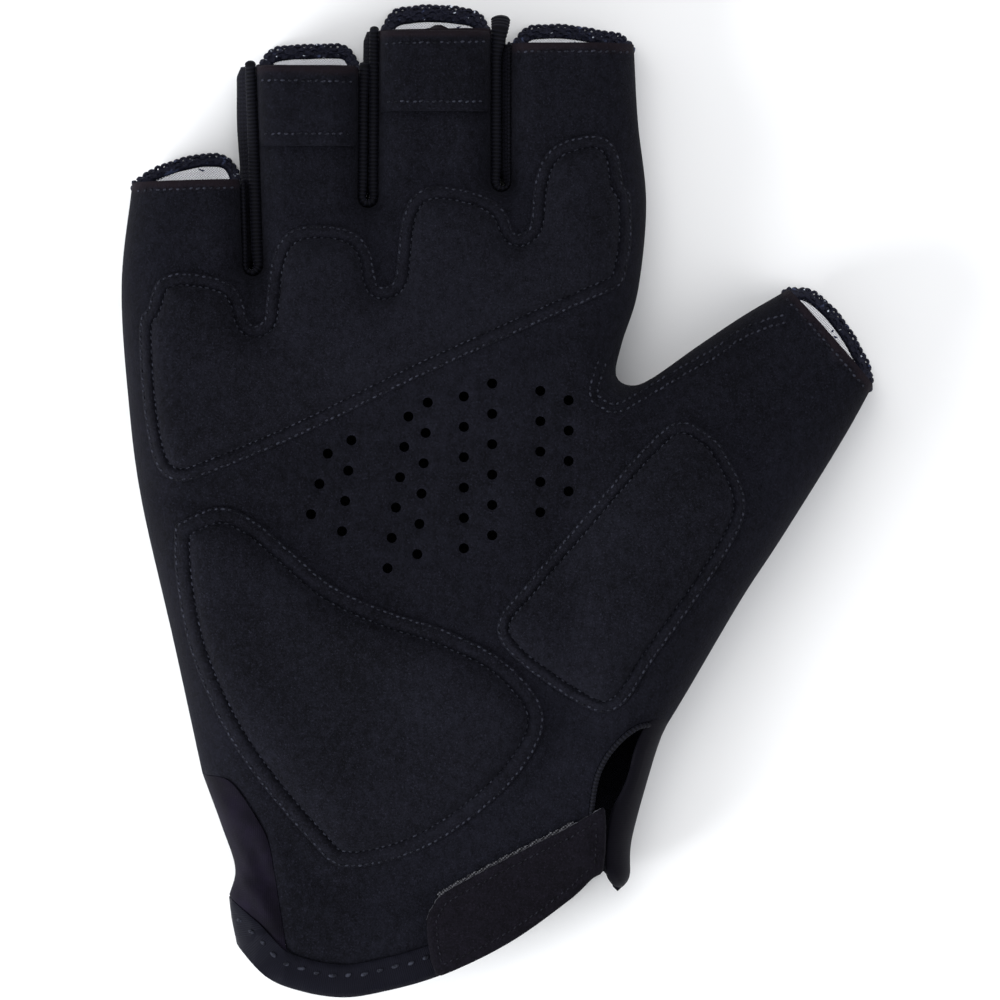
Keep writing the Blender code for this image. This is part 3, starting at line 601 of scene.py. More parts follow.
# Soft folds on the palm side, which only this script has: across, along, turn, half length, half width, height
foldRows = [
    (0.40, 0.600, 35, 0.0110, 0.0014, -0.00055),
    (0.36, 0.585, 28, 0.0120, 0.0018, 0.00035),
    (0.55, 0.640, 38, 0.0140, 0.0011, -0.00030),
    (0.395, 0.330, 62, 0.0150, 0.0020, -0.00060),
    (0.330, 0.235, 48, 0.0130, 0.0022, -0.00050),
    (0.020, 0.100, 8, 0.0200, 0.0030, -0.00055),
    (-0.150, 0.095, -12, 0.0120, 0.0018, 0.00040),
    (-0.360, 0.500, -18, 0.0120, 0.0020, -0.00040),
    (-0.385, 0.760, 5, 0.0090, 0.0016, -0.00030),
    (-0.140, 0.800, 2, 0.0080, 0.0016, -0.00030),
    (0.110, 0.830, 0, 0.0080, 0.0016, -0.00030),
    (0.350, 0.880, 0, 0.0080, 0.0016, -0.00025),
    (0.200, 0.600, 24, 0.0260, 0.0020, -0.00050),
    (-0.140, 0.515, 25, 0.0200, 0.0018, -0.00040),
    (0.760, 0.585, -48, 0.0070, 0.0016, -0.00035),
    (0.700, 0.540, -50, 0.0080, 0.0020, -0.00035),
]
gussetFolds = [
    (-0.262, 0.112, -52, 0.0060, 0.0011, 0.00060),
    (-0.246, 0.140, -58, 0.0075, 0.0013, -0.00060),
    (-0.285, 0.168, -66, 0.0080, 0.0018, 0.00055),
    (-0.225, 0.085, -70, 0.0080, 0.0014, 0.00045),
    (-0.300, 0.205, -30, 0.0050, 0.0012, -0.00035),
]


def softFolds(points, rows=foldRows):
    lift = wander(points, 0.021, 3.1) * 0.00045 + wander(points, 0.008, 7.7) * 0.00016
    for across, along, turn, halfLength, halfWidth, height in rows:
        centre = place([(across, along)])[0]
        angle = math.radians(turn)
        run = (points - centre) @ np.array([math.cos(angle), math.sin(angle)])
        off = (points - centre) @ np.array([-math.sin(angle), math.cos(angle)])
        lift += height * np.exp(-((run / halfLength) ** 2) - (off / halfWidth) ** 2)
    return lift


def arcTable():
    # extra length of the rounded side beyond its plan width, over the share of the rounding left
    turns = np.linspace(0, math.pi / 2, 60)
    plan = 1 - np.cos(turns)
    piece = np.sqrt(np.sin(turns) ** 2 + (1.25 * np.cos(turns)) ** 2)
    arc = np.concatenate([[0], np.cumsum((piece[1:] + piece[:-1]) / 2 * np.diff(turns))])
    return plan, (arc[-1] - arc) - (1 - plan)


arcPlan, arcExtra = arcTable()


def unrolled(points):
    # where a plan point lies in the flat cloth, in tens of centimetres, so that a knit isn't stretched
    corners = np.vstack([evenly(line, 0.0003) for line in sides])
    away = points - corners[nearestOf(points, corners)]
    gap = np.linalg.norm(away, axis=1)
    extra = np.interp(gap / glove["sideRound"], arcPlan, arcExtra) * glove["sideRound"]
    return (points - away / np.maximum(gap, 1e-6)[:, None] * extra[:, None]) * 10


def hem(start, end, finger=None, steps=26):
    # a hem's line: straight on the palm side, arched on the back
    run = end - start
    shares = (1 - np.cos(np.linspace(0, math.pi, steps + 1))) / 2
    line = start + shares[:, None] * run
    if finger is None:
        return line
    outward = np.array([-run[1], run[0]]) / np.linalg.norm(run)
    knots = np.column_stack([(0, 0.12, 0.31, 0.5, 0.69, 0.88, 1), (0, *hemRows[finger][0], 0)])
    arch = curveThrough(knots * (0.02, 1), 0.0001)
    rise = np.interp(shares * 0.02, arch[:, 0], arch[:, 1])
    return line + rise[:, None] * outward


def hemmedEdges(spare=0.0, shorter=1.0):
    # the side lines, each cut back at a hem by the width of its trim
    widths = [hemRows[finger][1] * shorter + spare for finger in fingers]
    lines = [cut(edges[0], end=widths[0])]
    lines += [cut(line, widths[k], widths[k + 1]) for k, line in enumerate(edges[1:-1])]
    lines.append(cut(edges[-1], start=widths[-1]))
    return lines


def withHems(lines, arched=True):
    woven = [lines[0]]
    for finger, before, after in zip(fingers, lines, lines[1:]):
        woven.append(hem(before[-1], after[0], finger if arched else None))
        woven.append(after)
    return woven


cuff = {"width": 0.0062, "wall": 0.0014, "crown": 0.0006, "stitchGap": 0.0020, "stitchPitch": 0.0031}
trim = {"height": 0.0012, "pitch": 0.00130, "loop": 0.00045, "yarn": 0.00031}
wholeOutline = join(*withHems(edges), mouth)


def cuffLine():
    line = movedRight(mouth, cuff["width"])
    line = line[inside(line, wholeOutline) & (distances(line, sides) > cuff["width"] / 3)]
    right = evenly(sides[2], 0.0003)
    start = right[np.linalg.norm(right - line[0], axis=1).argmin()]
    return evenly(join([start], line, [place(cuffCorner)[-1]]), 0.0009)


cuffTop = cuffLine()


def gussetLine(gap):
    line = movedRight(smoothLine(gussetEdge), gap)
    return cut(line, start=crossing(line, movedRight(cuffTop, glove["gap"])))


def backLines():
    trims = withHems(hemmedEdges())
    lines = withHems(hemmedEdges(0.0001))
    for k in range(1, len(lines), 2):
        lines[k] = movedRight(trims[k], 0.0001)[1:-1]
    return lines


def panelOutline(lines, vent):
    gusset = gussetLine(0.0001)
    binding = movedRight(cuffTop, 0.0001)
    start = stationOf(lines[0], place(gussetEdge)[-1]) + 0.0004
    vent = cut(vent, end=arcLengths(vent)[-1] - crossing(vent, binding))
    foot = between(binding, vent[-1], gusset[0])
    return join(cut(lines[0], start=start), *lines[1:-1], vent, foot[1:-1], gusset)


palmHems = [hem(before[-1], after[0], None, 22) for before, after in zip(edges, edges[1:])]
ventLine = smoothLine(ventEdge)
palmSide = between(rightSide, rightSide[0], ventLine[0])
palmVent = join(palmSide[:-1], ventLine)
palmOutline = panelOutline(withHems(edges, False), palmVent)
backHemLines = backLines()
backOutline = panelOutline(backHemLines, backHemLines[-1])


def seamRings():
    # points in rows along every seam, closer together where the cloth turns down
    made = []
    for line in edges:
        isSlot = any(line is slot for slot in slots)
        reach, steps = (glove["slotRound"], 7) if isSlot else (glove["sideRound"], 11)
        for k in range(1, steps + 1):
            offset = reach * (1 - math.cos(math.pi / 2 * k / steps))
            ring = evenly(movedRight(line, offset), 0.0011)
            spared = np.abs(distances(ring, edges) - offset) < 0.00003
            made.append((ring, spared & inside(ring, wholeOutline)))
    return made


def hexField(outline, spacing):
    low, high = outline.min(0), outline.max(0)
    rows = []
    for number, y in enumerate(np.arange(low[1], high[1], spacing * 0.866)):
        xs = np.arange(low[0] + (spacing / 2 if number % 2 else 0), high[0], spacing)
        rows.append(np.column_stack([xs, np.full(len(xs), y)]))
    return np.vstack(rows)


print("point rows along the seams")
rings = seamRings()
field = hexField(wholeOutline, 0.00095)
openField = (distances(field, sides) > glove["sideRound"] + 0.0004) & (
    distances(field, slots) > glove["slotRound"] + 0.0004
)
field = field[openField & inside(field, wholeOutline)]


def layOut(outline, clearOf, holes=(), rows=None, loose=None, clear=0.00045):
    # triangles of a cut piece of cloth: its outline, its holes, rows of points and loose ones between
    rows = rings if rows is None else rows
    loose = field if loose is None else loose
    loops = [outline, *holes]
    points, pairs, first = [], [], 0
    for loop in loops:
        numbers = first + np.arange(len(loop))
        pairs += list(zip(numbers.tolist(), np.roll(numbers, -1).tolist()))
        points.append(loop)
        first += len(loop)
    barriers = [*clearOf, *(closedUp(hole) for hole in holes)]

    def free(spots):
        good = inside(spots, outline)
        if barriers:
            good &= distances(spots, barriers) > clear
        for hole in holes:
            middle = hole.mean(0)
            good &= np.linalg.norm(spots - middle, axis=1) > np.linalg.norm(hole[0] - middle)
        return good

    for row, spared in rows:
        good = spared & free(row)
        numbers = first + np.cumsum(good) - 1
        joined = good[:-1] & good[1:]
        pairs += list(zip(numbers[:-1][joined].tolist(), numbers[1:][joined].tolist()))
        points.append(row[good])
        first += int(good.sum())
    points.append(loose[free(loose)])
    flat = [Vector(point) for point in np.vstack(points) * 1000]
    made, _, faces, _, _, _ = delaunay_2d_cdt(flat, pairs, [], 0, 1e-5, True)
    plan = np.array([tuple(point) for point in made]) / 1000
    faces = np.array(faces)
    middles = plan[faces].mean(1)
    keep = inside(middles, outline)
    for hole in holes:
        keep &= ~inside(middles, hole)
    faces = faces[keep]
    one, two, three = (plan[faces[:, k]] for k in range(3))
    across, down = two - one, three - one
    area = across[:, 0] * down[:, 1] - across[:, 1] * down[:, 0]
    faces[area < 0] = faces[area < 0][:, ::-1]
    faces = faces[np.abs(area) > 1e-13]
    used, numbers = np.unique(faces, return_inverse=True)
    return plan[used], numbers.reshape(-1, 3)


def newPiece(name, points, faces, materials, uv=None):
    mesh = bpy.data.meshes.new(name)
    mesh.from_pydata(np.asarray(points).tolist(), [], [tuple(int(i) for i in face) for face in faces])
    mesh.update()
    if uv is not None:
        layer = mesh.uv_layers.new(name="cloth")
        corners = np.zeros(len(mesh.loops), np.int32)
        mesh.loops.foreach_get("vertex_index", corners)
        layer.data.foreach_set("uv", np.asarray(uv, np.float32)[corners].ravel())
    for material in materials:
        mesh.materials.append(material)
    piece = bpy.data.objects.new(name, mesh)
    bpy.context.scene.collection.objects.link(piece)
    return piece


def takeUp(piece):
    bpy.ops.object.select_all(action="DESELECT")
    piece.select_set(True)
    bpy.context.view_layer.objects.active = piece


def giveWall(piece, wall, liningSlot=0):
    # the wall goes inwards from the modelled face
    takeUp(piece)
    solid = piece.modifiers.new("wall", "SOLIDIFY")
    solid.thickness = wall
    solid.offset = -1
    solid.use_quality_normals = True
    solid.material_offset = liningSlot
    bpy.ops.object.modifier_apply(modifier="wall")
    bpy.ops.object.shade_smooth_by_angle(angle=math.radians(50))


def belong(piece, nodes):
    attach(piece, "root")
    if nodes:
        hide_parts(*nodes)


def palmBase(points, sideGap=None):
    sideGap = distances(points, sides) if sideGap is None else sideGap
    calm = 1 - swell(sideGap, glove["sideRound"])
    return levels(points, sideGap)[0] + softFolds(points) * calm


def lineDip(gap, width, depth):
    return -depth * np.exp(-((gap / width) ** 2))


# Palm pads, clockwise: across, along
knuckle = {
    "side": [(0.472, 0.815), (0.474, 0.763), (0.458, 0.716)],
    "foot": [
        (0.458, 0.716), (0.298, 0.679), (0.063, 0.623), (-0.163, 0.565), (-0.327, 0.529),
        (-0.394, 0.519), (-0.437, 0.536), (-0.460, 0.590), (-0.470, 0.663), (-0.467, 0.690),
    ],
    # valley across, valley along, top of the lobe to its right, tilt of that top
    "lobes": [
        (-0.467, 0.690, 0.728, -0.008), (-0.246, 0.675, 0.777, -0.002), (0.003, 0.715, 0.815, -0.012),
        (0.265, 0.769, 0.866, 0.012), (0.472, 0.815, None, None),
    ],
}
heelTable = [
    (-0.402, 0.477), (-0.317, 0.495), (-0.248, 0.481), (-0.183, 0.453), (-0.096, 0.415), (0.010, 0.390),
    (0.125, 0.370), (0.240, 0.336), (0.306, 0.282), (0.240, 0.216), (0.087, 0.154), (-0.070, 0.132),
    (-0.140, 0.157), (-0.279, 0.248), (-0.365, 0.340), (-0.398, 0.421),
]
thumbTable = [
    (0.640, 0.560), (0.690, 0.500), (0.648, 0.443), (0.510, 0.338), (0.456, 0.296), (0.394, 0.291),
    (0.250, 0.342), (0.215, 0.378), (0.272, 0.418), (0.375, 0.481), (0.500, 0.556), (0.567, 0.581),
]


def knuckleOutline():
    lobes = []
    for left, right in zip(knuckle["lobes"], knuckle["lobes"][1:]):
        for turn in np.linspace(-1, 1, 60, endpoint=False):
            valley = left[1] + (right[1] - left[1]) * (turn + 1) / 2
            across = left[0] + (right[0] - left[0]) * (turn + 1) / 2
            reach = min(1, abs(turn) / 0.84)
            lift = (1 - reach**3) ** (1 / 3)
            lobes.append((across, valley + (left[2] + left[3] * turn - valley) * lift))
    lobes.append(knuckle["lobes"][-1][:2])
    top = evenly(place(lobes), 0.0007)
    return join(top, smoothLine(knuckle["side"], 0.0007), smoothLine(knuckle["foot"], 0.0007))


def rounded(outline, passes):
    # a closed line with its corners eased
    for _ in range(passes):
        outline = outline * 0.5 + (np.roll(outline, 1, axis=0) + np.roll(outline, -1, axis=0)) * 0.25
    return evenly(closedUp(outline), 0.0007)[:-1]


def insetLine(outline, gap, facet=0.0006):
    # the closed line a gap inside the outline
    around = np.vstack([outline[-3:], outline, outline[:3]])
    line = (around + rightNormals(around) * gap)[3:-3]
    good = distances(line, [closedUp(outline)]) > gap - 0.00004
    return evenly(closedUp(line[good]), facet)[:-1]


# outline, gap between the two stitch rows, height of the crown, how far in it is reached
padRows = {
    "knuckle_pad": {"outline": rounded(knuckleOutline(), 6), "rows": 0.0021, "crown": 0.0023, "reach": 0.0058},
    "heel_pad": {
        "outline": rounded(join(smoothLine(heelTable + heelTable[:1], 0.0007)), 3),
        "rows": 0.0027, "crown": 0.0027, "reach": 0.0075,
    },
    "thumb_pad": {
        "outline": rounded(join(smoothLine(thumbTable + thumbTable[:1], 0.0007)), 3),
        "rows": 0.0019, "crown": 0.0025, "reach": 0.0065,
    },
}
firstRow = 0.0004  # the outer stitch row lies this far inside a pad's edge


def padHeight(gap, pad, plan):
    # low rounded edge, a raised channel between the stitch rows, then the stuffed crown
    second = firstRow + pad["rows"]
    edge = 0.00035 * (1 - swell(gap, 0.0005)) + 0.00010
    channel = 0.00045 * np.sin(np.clip((gap - firstRow) / pad["rows"], 0, 1) * math.pi) ** 0.8
    rise = 1 - swell(np.clip(gap - second, 0, None), pad["reach"])
    crown = pad["crown"] * rise * (1 + 0.10 * wander(plan, 0.013, 5.5))
    pull = lineDip(gap - firstRow, 0.00035, 0.00022) + lineDip(gap - second, 0.00045, 0.00025)
    return edge + channel + crown + pull


# foot along, its slots, stitch row above the foot, stitch row below the hem
tabs = {
    "ring": {"foot": 0.857, "slots": (0, 1), "footRow": 0.0023, "hemRow": 0.0030},
    "middle": {"foot": 0.892, "slots": (1, 2), "footRow": 0.0018, "hemRow": 0.0027},
}


def tabOutline(tab):
    number, other = tab["slots"]
    foot, top = place([(0, tab["foot"]), (0, slotRows[number][6])])[:, 1]
    top -= 0.00015
    corners = []
    for line, rising, inset in ((slots[number], True, 0.0004), (slots[other], False, -0.0004)):
        root = line[:, 1].argmin()
        side = line[root:] if rising else line[: root + 1][::-1]
        heights = (foot, top) if rising else (top, foot)
        for height in heights:
            corners.append((np.interp(height, side[:, 1], side[:, 0]) + inset, height))
    corners = np.array(corners + corners[:1])
    return join(*(evenly(corners[k : k + 2], 0.0009) for k in range(4)))


# Holes in the palm: across and along of the lowest, how many, lean of the column
perforationRows = [
    (-0.140, 0.487, 3, 0.016), (-0.081, 0.470, 4, 0.006), (0.006, 0.433, 6, 0.008), (0.063, 0.447, 6, 0.004),
    (0.152, 0.453, 6, 0.000), (0.206, 0.466, 6, 0.000), (0.298, 0.489, 5, 0.000), (0.352, 0.510, 4, 0.000),
]
perforation = {"radius": 0.00098, "pitch": 0.0058, "corners": 14}


def ringOf(radius, corners):
    turns = np.arange(corners) * 2 * math.pi / corners
    return np.column_stack([np.cos(turns), np.sin(turns)]) * radius


def holeMiddles():
    middles = []
    for across, along, count, lean in perforationRows:
        foot = place([(across, along)])[0]
        for step in range(count):
            middles.append(foot + (lean * glove["width"] * step, step * perforation["pitch"]))
    return np.array(middles)


print("palm")
palm = {"wall": 0.0013, "hemFold": 0.0017, "hemRise": 0.00032, "valleyAway": 0.0034}
# width and depth of each place where the palm is pulled or pressed in
palmDips = {
    "hemStitch": (0.0004, 0.00022), "padEdge": (0.0012, 0.00022), "padValley": (0.0022, 0.00055),
    "holeRim": (0.0007, 0.00030), "gussetSeam": (0.0008, 0.00060), "cuffSeam": (0.0010, 0.00070),
    "bandFoot": (0.0012, 0.00070),
}
middles = holeMiddles()
holes = [middle + ringOf(perforation["radius"], perforation["corners"]) for middle in middles]
padLines = [closedUp(pad["outline"]) for pad in padRows.values()]


def palmExtras(points):
    # folded hems, the pull of the stitches round the pads, pressed edges of the holes
    lift = np.zeros(len(points))
    gap = distances(points, palmHems)
    lift += palm["hemRise"] * (1 - swell(gap, 0.0006)) * (gap < palm["hemFold"])
    lift += palm["hemRise"] * ease(1 - (gap - palm["hemFold"]) / 0.0005) * (gap >= palm["hemFold"])
    lift += lineDip(gap - palm["hemFold"], *palmDips["hemStitch"])
    pulled = distances(points, padLines)
    lift += lineDip(pulled, *palmDips["padEdge"]) + lineDip(pulled - palm["valleyAway"], *palmDips["padValley"])
    reach = np.linalg.norm(points[:, None] - middles[None], axis=2).min(1)
    lift += lineDip(np.maximum(reach - perforation["radius"], 0), *palmDips["holeRim"])
    lift += lineDip(distances(points, [gussetLine(0.0)]), *palmDips["gussetSeam"])
    lift += lineDip(distances(points, [cuffTop]), *palmDips["cuffSeam"])
    for tab in tabs.values():
        edge = tabOutline(tab)
        foot = edge[:, 1].min()
        footLine = evenly(np.array([(edge[:, 0].min(), foot), (edge[:, 0].max(), foot)]), 0.0005)
        lift += lineDip(distances(points, [footLine]), *palmDips["bandFoot"])
    return lift


def markHems(piece):
    # an attribute that is 1 on the folded hems
    spots = np.array([tuple(vertex.co)[:2] for vertex in piece.data.vertices])
    share = ease((palm["hemFold"] - distances(spots, palmHems)) / 0.0006)
    layer = piece.data.attributes.new("hemFold", "FLOAT", "POINT")
    layer.data.foreach_set("value", share.astype(np.float32))


def holeRims():
    rows = []
    for middle in middles:
        rim = middle + ringOf(perforation["radius"] + 0.00055, perforation["corners"])
        rows.append((closedUp(rim), np.ones(len(rim) + 1, bool)))
    return rows


borders = [*palmHems, ventLine, gussetLine(0.0001), cuffTop]
holeGap = np.linalg.norm(field[:, None] - middles[None], axis=2).min(1)
palmField = field[holeGap > perforation["radius"] + 0.0010]
plan, faces = layOut(palmOutline, borders, holes, rings + holeRims(), palmField, 0.00030)
sideGap = distances(plan, sides)
height = palmBase(plan, sideGap) + palmExtras(plan) * (1 - swell(sideGap, glove["sideRound"] / 2))
palmPanel = newPiece("palmPanel", np.column_stack([plan, height]), faces, [finish["palm"]], unrolled(plan))
markHems(palmPanel)
giveWall(palmPanel, palm["wall"])
belong(palmPanel, ["palm_panel"])

print("back")
back = {"wall": 0.0011}


def backBase(points):
    level = levels(points)[1]
    calm = 1 - swell(distances(points, sides), glove["sideRound"])
    bottom = ease(level / 0.0012)  # it stays flat where it rests on the floor
    return level + np.abs(wander(points, 0.017, 9.4)) * 0.0003 * calm * bottom


backBorders = [backHemLines[k] for k in range(1, len(backHemLines), 2)] + [gussetLine(0.0001), cuffTop]
plan, faces = layOut(backOutline, backBorders, clear=0.00040)
height = backBase(plan)
backPoints = np.column_stack([plan, height])
backPanel = newPiece("backPanel", backPoints, faces[:, ::-1], [finish["back"], finish["lining"]], unrolled(plan))
giveWall(backPanel, back["wall"], 1)
belong(backPanel, ["back_panel"])


def stuffedPiece(name, plan, faces, floor, top, materials, uv=None):
    # a closed piece between two heights over its plan
    count = len(plan)
    points = np.vstack([np.column_stack([plan, top]), np.column_stack([plan, floor])])
    used = set()
    for a, b, c in faces.tolist():
        used |= {(a, b), (b, c), (c, a)}
    rims = sorted((a, b) for a, b in used if (b, a) not in used)
    shell = faces.tolist() + [(c + count, b + count, a + count) for a, b, c in faces.tolist()]
    shell += [(b, a, a + count, b + count) for a, b in rims]
    uv = None if uv is None else np.vstack([uv, uv])
    piece = newPiece(name, points, shell, materials, uv)
    takeUp(piece)
    bpy.ops.object.shade_smooth_by_angle(angle=math.radians(55))
    return piece


def rowsInside(outline, offsets, facet=0.0009):
    rows = []
    for offset in offsets:
        ring = closedUp(insetLine(outline, offset, facet))
        rows.append((ring, np.ones(len(ring), bool)))
    return rows


def softPlan(outline, offsets, spacing, margin, facet=0.0009):
    # plan points and triangles of a stuffed piece, and how far each point is from its edge
    rows = rowsInside(outline, offsets, facet)
    loose = hexField(outline, spacing)
    loose = loose[inside(loose, insetLine(outline, margin))]
    plan, faces = layOut(outline, [], (), rows, loose)
    return plan, faces, distances(plan, [closedUp(outline)])


print("pads")
padded = {}
for name, pad in padRows.items():
    second = firstRow + pad["rows"]
    offsets = [0.00012, 0.0004, 0.0008, firstRow + pad["rows"] / 2, second - 0.0005, second]
    offsets += [second + pad["reach"] * share for share in (0.04, 0.12, 0.24, 0.38, 0.54)]
    plan, faces, gap = softPlan(pad["outline"], offsets, 0.00085, offsets[-1] + 0.0004, 0.0008)
    base = palmBase(plan)
    step = 0.0002
    lean = [(palmBase(plan + move) - palmBase(plan - move)) / (2 * step) for move in ((step, 0), (0, step))]
    steep = np.sqrt(1 + lean[0] ** 2 + lean[1] ** 2)
    top = base + padHeight(gap, pad, plan) * np.minimum(steep, 1.35)
    piece = stuffedPiece(name + "_suede", plan, faces, base + 0.00002, top, [finish["pad"]], plan * 10)
    belong(piece, [name])
    padded[name] = piece

print("pull-off bands")
band = {"rise": 0.0011}
bandPieces = []
for finger, tab in tabs.items():
    plan, faces, gap = softPlan(tabOutline(tab), [0.00015, 0.0004, 0.0008], 0.0009, 0.0012)
    foot = place([(0, tab["foot"])])[0, 1]
    top = place([(0, slotRows[tab["slots"][0]][6])])[0, 1]
    base = palmBase(plan) + palmExtras(plan) * 0.3
    rise = band["rise"] * (1 - 0.6 * swell(gap, 0.0009))
    rise += lineDip(plan[:, 1] - foot - tab["footRow"], 0.0004, 0.00020)
    rise += lineDip(top - plan[:, 1] - tab["hemRow"], 0.0004, 0.00020)
    rise += 0.00025 * ease((plan[:, 1] - foot) / 0.002) * wander(plan, 0.006, 2.2)
    piece = stuffedPiece("band_" + finger, plan, faces, base + 0.00005, base + rise, [finish["palm"]], plan * 10)
    markHems(piece)
    belong(piece, ["pull_tab_" + finger])
    bandPieces.append(piece)


def towards(vectors):
    return vectors / np.maximum(np.linalg.norm(vectors, axis=1), 1e-12)[:, None]


def ribbedTube(path, across, halfWidth, halfHeight, corners=12, rib=0.00075, ribDepth=0.0, slant=0.6):
    # a flattened tube along a path, with ribs wound round it and rounded ends
    count = len(path)
    halfWidth = np.broadcast_to(halfWidth, count).copy()
    halfHeight = np.broadcast_to(halfHeight, count).copy()
    lengths = arcLengths(path)
    ends = np.minimum(lengths, lengths[-1] - lengths)
    blunt = np.sqrt(1 - (1 - np.clip(ends / halfHeight, 0.04, 1)) ** 2)
    along = towards(np.gradient(path, axis=0))
    across = towards(across - (across * along).sum(1)[:, None] * along)
    up = np.cross(across, along)
    up *= np.sign(up[:, 2:] + 1e-9)
    turns = np.arange(corners) * 2 * math.pi / corners
    wave = 1 + ribDepth * np.sin(lengths[:, None] * 2 * math.pi / rib + slant * np.cos(turns)[None])
    wide = np.cos(turns)[None] * halfWidth[:, None] * blunt[:, None] * wave
    high = np.sin(turns)[None] * halfHeight[:, None] * blunt[:, None] * wave
    points = path[:, None] + across[:, None] * wide[..., None] + up[:, None] * high[..., None]
    faces = []
    for k in range(count - 1):
        for corner in range(corners):
            after = (corner + 1) % corners
            here, there = k * corners, (k + 1) * corners
            faces.append((here + corner, here + after, there + after, there + corner))
    faces.append(tuple(range(corners))[::-1])
    faces.append(tuple((count - 1) * corners + corner for corner in range(corners)))
    around = np.tile(turns / (2 * math.pi) * 0.05, count)
    uv = np.column_stack([np.repeat(lengths * 10, corners), around])
    return points.reshape(-1, 3), faces, uv


def turnOut(piece):
    # all faces look outwards, and soft corners are shaded round
    takeUp(piece)
    bpy.ops.object.mode_set(mode="EDIT")
    bpy.ops.mesh.select_all(action="SELECT")
    bpy.ops.mesh.normals_make_consistent(inside=False)
    bpy.ops.object.mode_set(mode="OBJECT")
    bpy.ops.object.shade_smooth_by_angle(angle=math.radians(60))


def tubePiece(name, tube, material):
    points, faces, uv = tube
    piece = newPiece(name, points, faces, [material], uv)
    turnOut(piece)
    return piece


print("side strips and bindings of the slots")
# width of the binding on the left and right side, which side stands free above its neighbour's hem, and how far
# the side strip swells out there
slotWork = [
    {"widths": (0.0009, 0.0021), "free": "right", "swell": 0.0044, "past": (0.0, 0.0009), "flare": 0.0},
    {"widths": (0.0017, 0.0018), "free": "right", "swell": 0.0035, "past": (0.0010, 0.0008), "flare": 0.0004},
    {"widths": (0.0019, 0.0007), "free": "left", "swell": 0.0033, "past": (0.0026, 0.0003), "flare": 0.0018},
]
strip = {"wall": 0.0008, "lap": 0.0004, "rows": 12}
binding = {"height": 0.0013, "rib": 0.00075, "ribDepth": 0.035, "step": 0.00015}

for row, work, line in zip(slotRows, slotWork, slots):
    name = row[0] + "_" + row[1]
    root = line[:, 1].argmin()
    leftTop, rightTop = place([(0, row[5]), (0, row[6])])[:, 1]
    neighbour, own = (leftTop, rightTop) if work["free"] == "right" else (rightTop, leftTop)
    limb = np.arange(len(line)) > root if work["free"] == "right" else np.arange(len(line)) < root
    free = ease((line[:, 1] - neighbour + 0.0045) / 0.0060) * limb
    rounding = 1 - 0.22 * ease((line[:, 1] - own + 0.0018) / 0.0018)
    calm = 0.45 + 0.55 * ease((line[:, 1] - line[root, 1]) / 0.0045)
    # its two sides lap over each other in the middle of the slot, one high and one low
    leftLimb, rightLimb = line[: root + 1], line[root:]
    leftX = np.interp(line[:, 1], leftLimb[::-1, 1], leftLimb[::-1, 0])
    rightX = np.interp(line[:, 1], rightLimb[:, 1], rightLimb[:, 0])
    bulge = np.clip((rightX - leftX) / 2 + strip["lap"], 0.0010, 0.0027) * calm
    amount = (bulge + (work["swell"] - bulge) * free) * rounding
    limbs = ease((np.arange(len(line)) - root + 10) / 20)
    lean = 0.66 * (1 - limbs) + 1.6 * limbs
    palmLevel, backLevel = levels(line)
    low, high = backLevel + 0.0002, palmLevel - 0.0002
    normals = rightNormals(line)
    layers, uvLayers = [], []
    lengths = arcLengths(line)
    for share in np.linspace(0, 1, strip["rows"]):
        out = np.sin(math.pi * share ** (lean * (1 - free) + free)).clip(0) ** 0.7 * amount
        crease = 1 - 0.03 * (1 + np.sin(lengths / 0.0031 + 2.0 * share))
        spot = line + normals * (0.0001 - out * crease)[:, None]
        layers.append(np.column_stack([spot, low + share * (high - low)]))
        uvLayers.append(np.column_stack([lengths * 10, np.full(len(line), share * 0.1)]))
    count = len(line)
    faces = []
    for layer in range(strip["rows"] - 1):
        for k in range(count - 1):
            here, there = layer * count + k, (layer + 1) * count + k
            faces.append((here, there, there + 1, here + 1))
    sidePiece = newPiece("strip_" + name, np.vstack(layers), faces, [finish["side"]], np.vstack(uvLayers))
    takeUp(sidePiece)
    subdivide = sidePiece.modifiers.new("smooth", "SUBSURF")
    subdivide.levels = subdivide.render_levels = 1
    bpy.ops.object.modifier_apply(modifier="smooth")
    giveWall(sidePiece, strip["wall"])
    belong(sidePiece, ["fourchette_" + name])

    leftPast, rightPast = work["past"]
    lead = line[0] + (line[0] - line[1]) / np.linalg.norm(line[0] - line[1]) * leftPast
    tail = line[-1] + (line[-1] - line[-2]) / np.linalg.norm(line[-1] - line[-2]) * rightPast
    whole = join([lead], line, [tail]) if leftPast else join(line, [tail])
    whole = evenly(whole, binding["step"])
    lengths = arcLengths(whole)
    bottom = whole[:, 1].argmin()
    turn = ease((lengths - lengths[bottom] + 0.003) / 0.006)
    widths = work["widths"][0] * (1 - turn) + work["widths"][1] * turn
    widths = widths + work["flare"] * ease(1 - lengths / 0.0090)
    widths = widths * (0.80 + 0.20 * ease((whole[:, 1] - whole[bottom, 1]) / 0.006))
    normals = rightNormals(whole)
    plan = whole - normals * (0.0001 + widths / 2)[:, None]
    level = palmBase(line)
    level = np.interp(lengths, arcLengths(line) + leftPast, level)
    past = np.maximum(leftPast - lengths, 0) + np.maximum(lengths - lengths[-1] + rightPast, 0)
    level = level + 0.0001 - past * 0.9
    path = np.column_stack([plan, level])
    across = np.column_stack([normals, np.zeros(len(normals))])
    tube = ribbedTube(path, across, widths / 2, binding["height"] / 2 * (0.75 + widths / 0.006), 12,
                      binding["rib"], binding["ribDepth"])
    belong(tubePiece("binding_" + name, tube, finish["piping"]), ["slot_binding_" + name])

print("knitted trims")


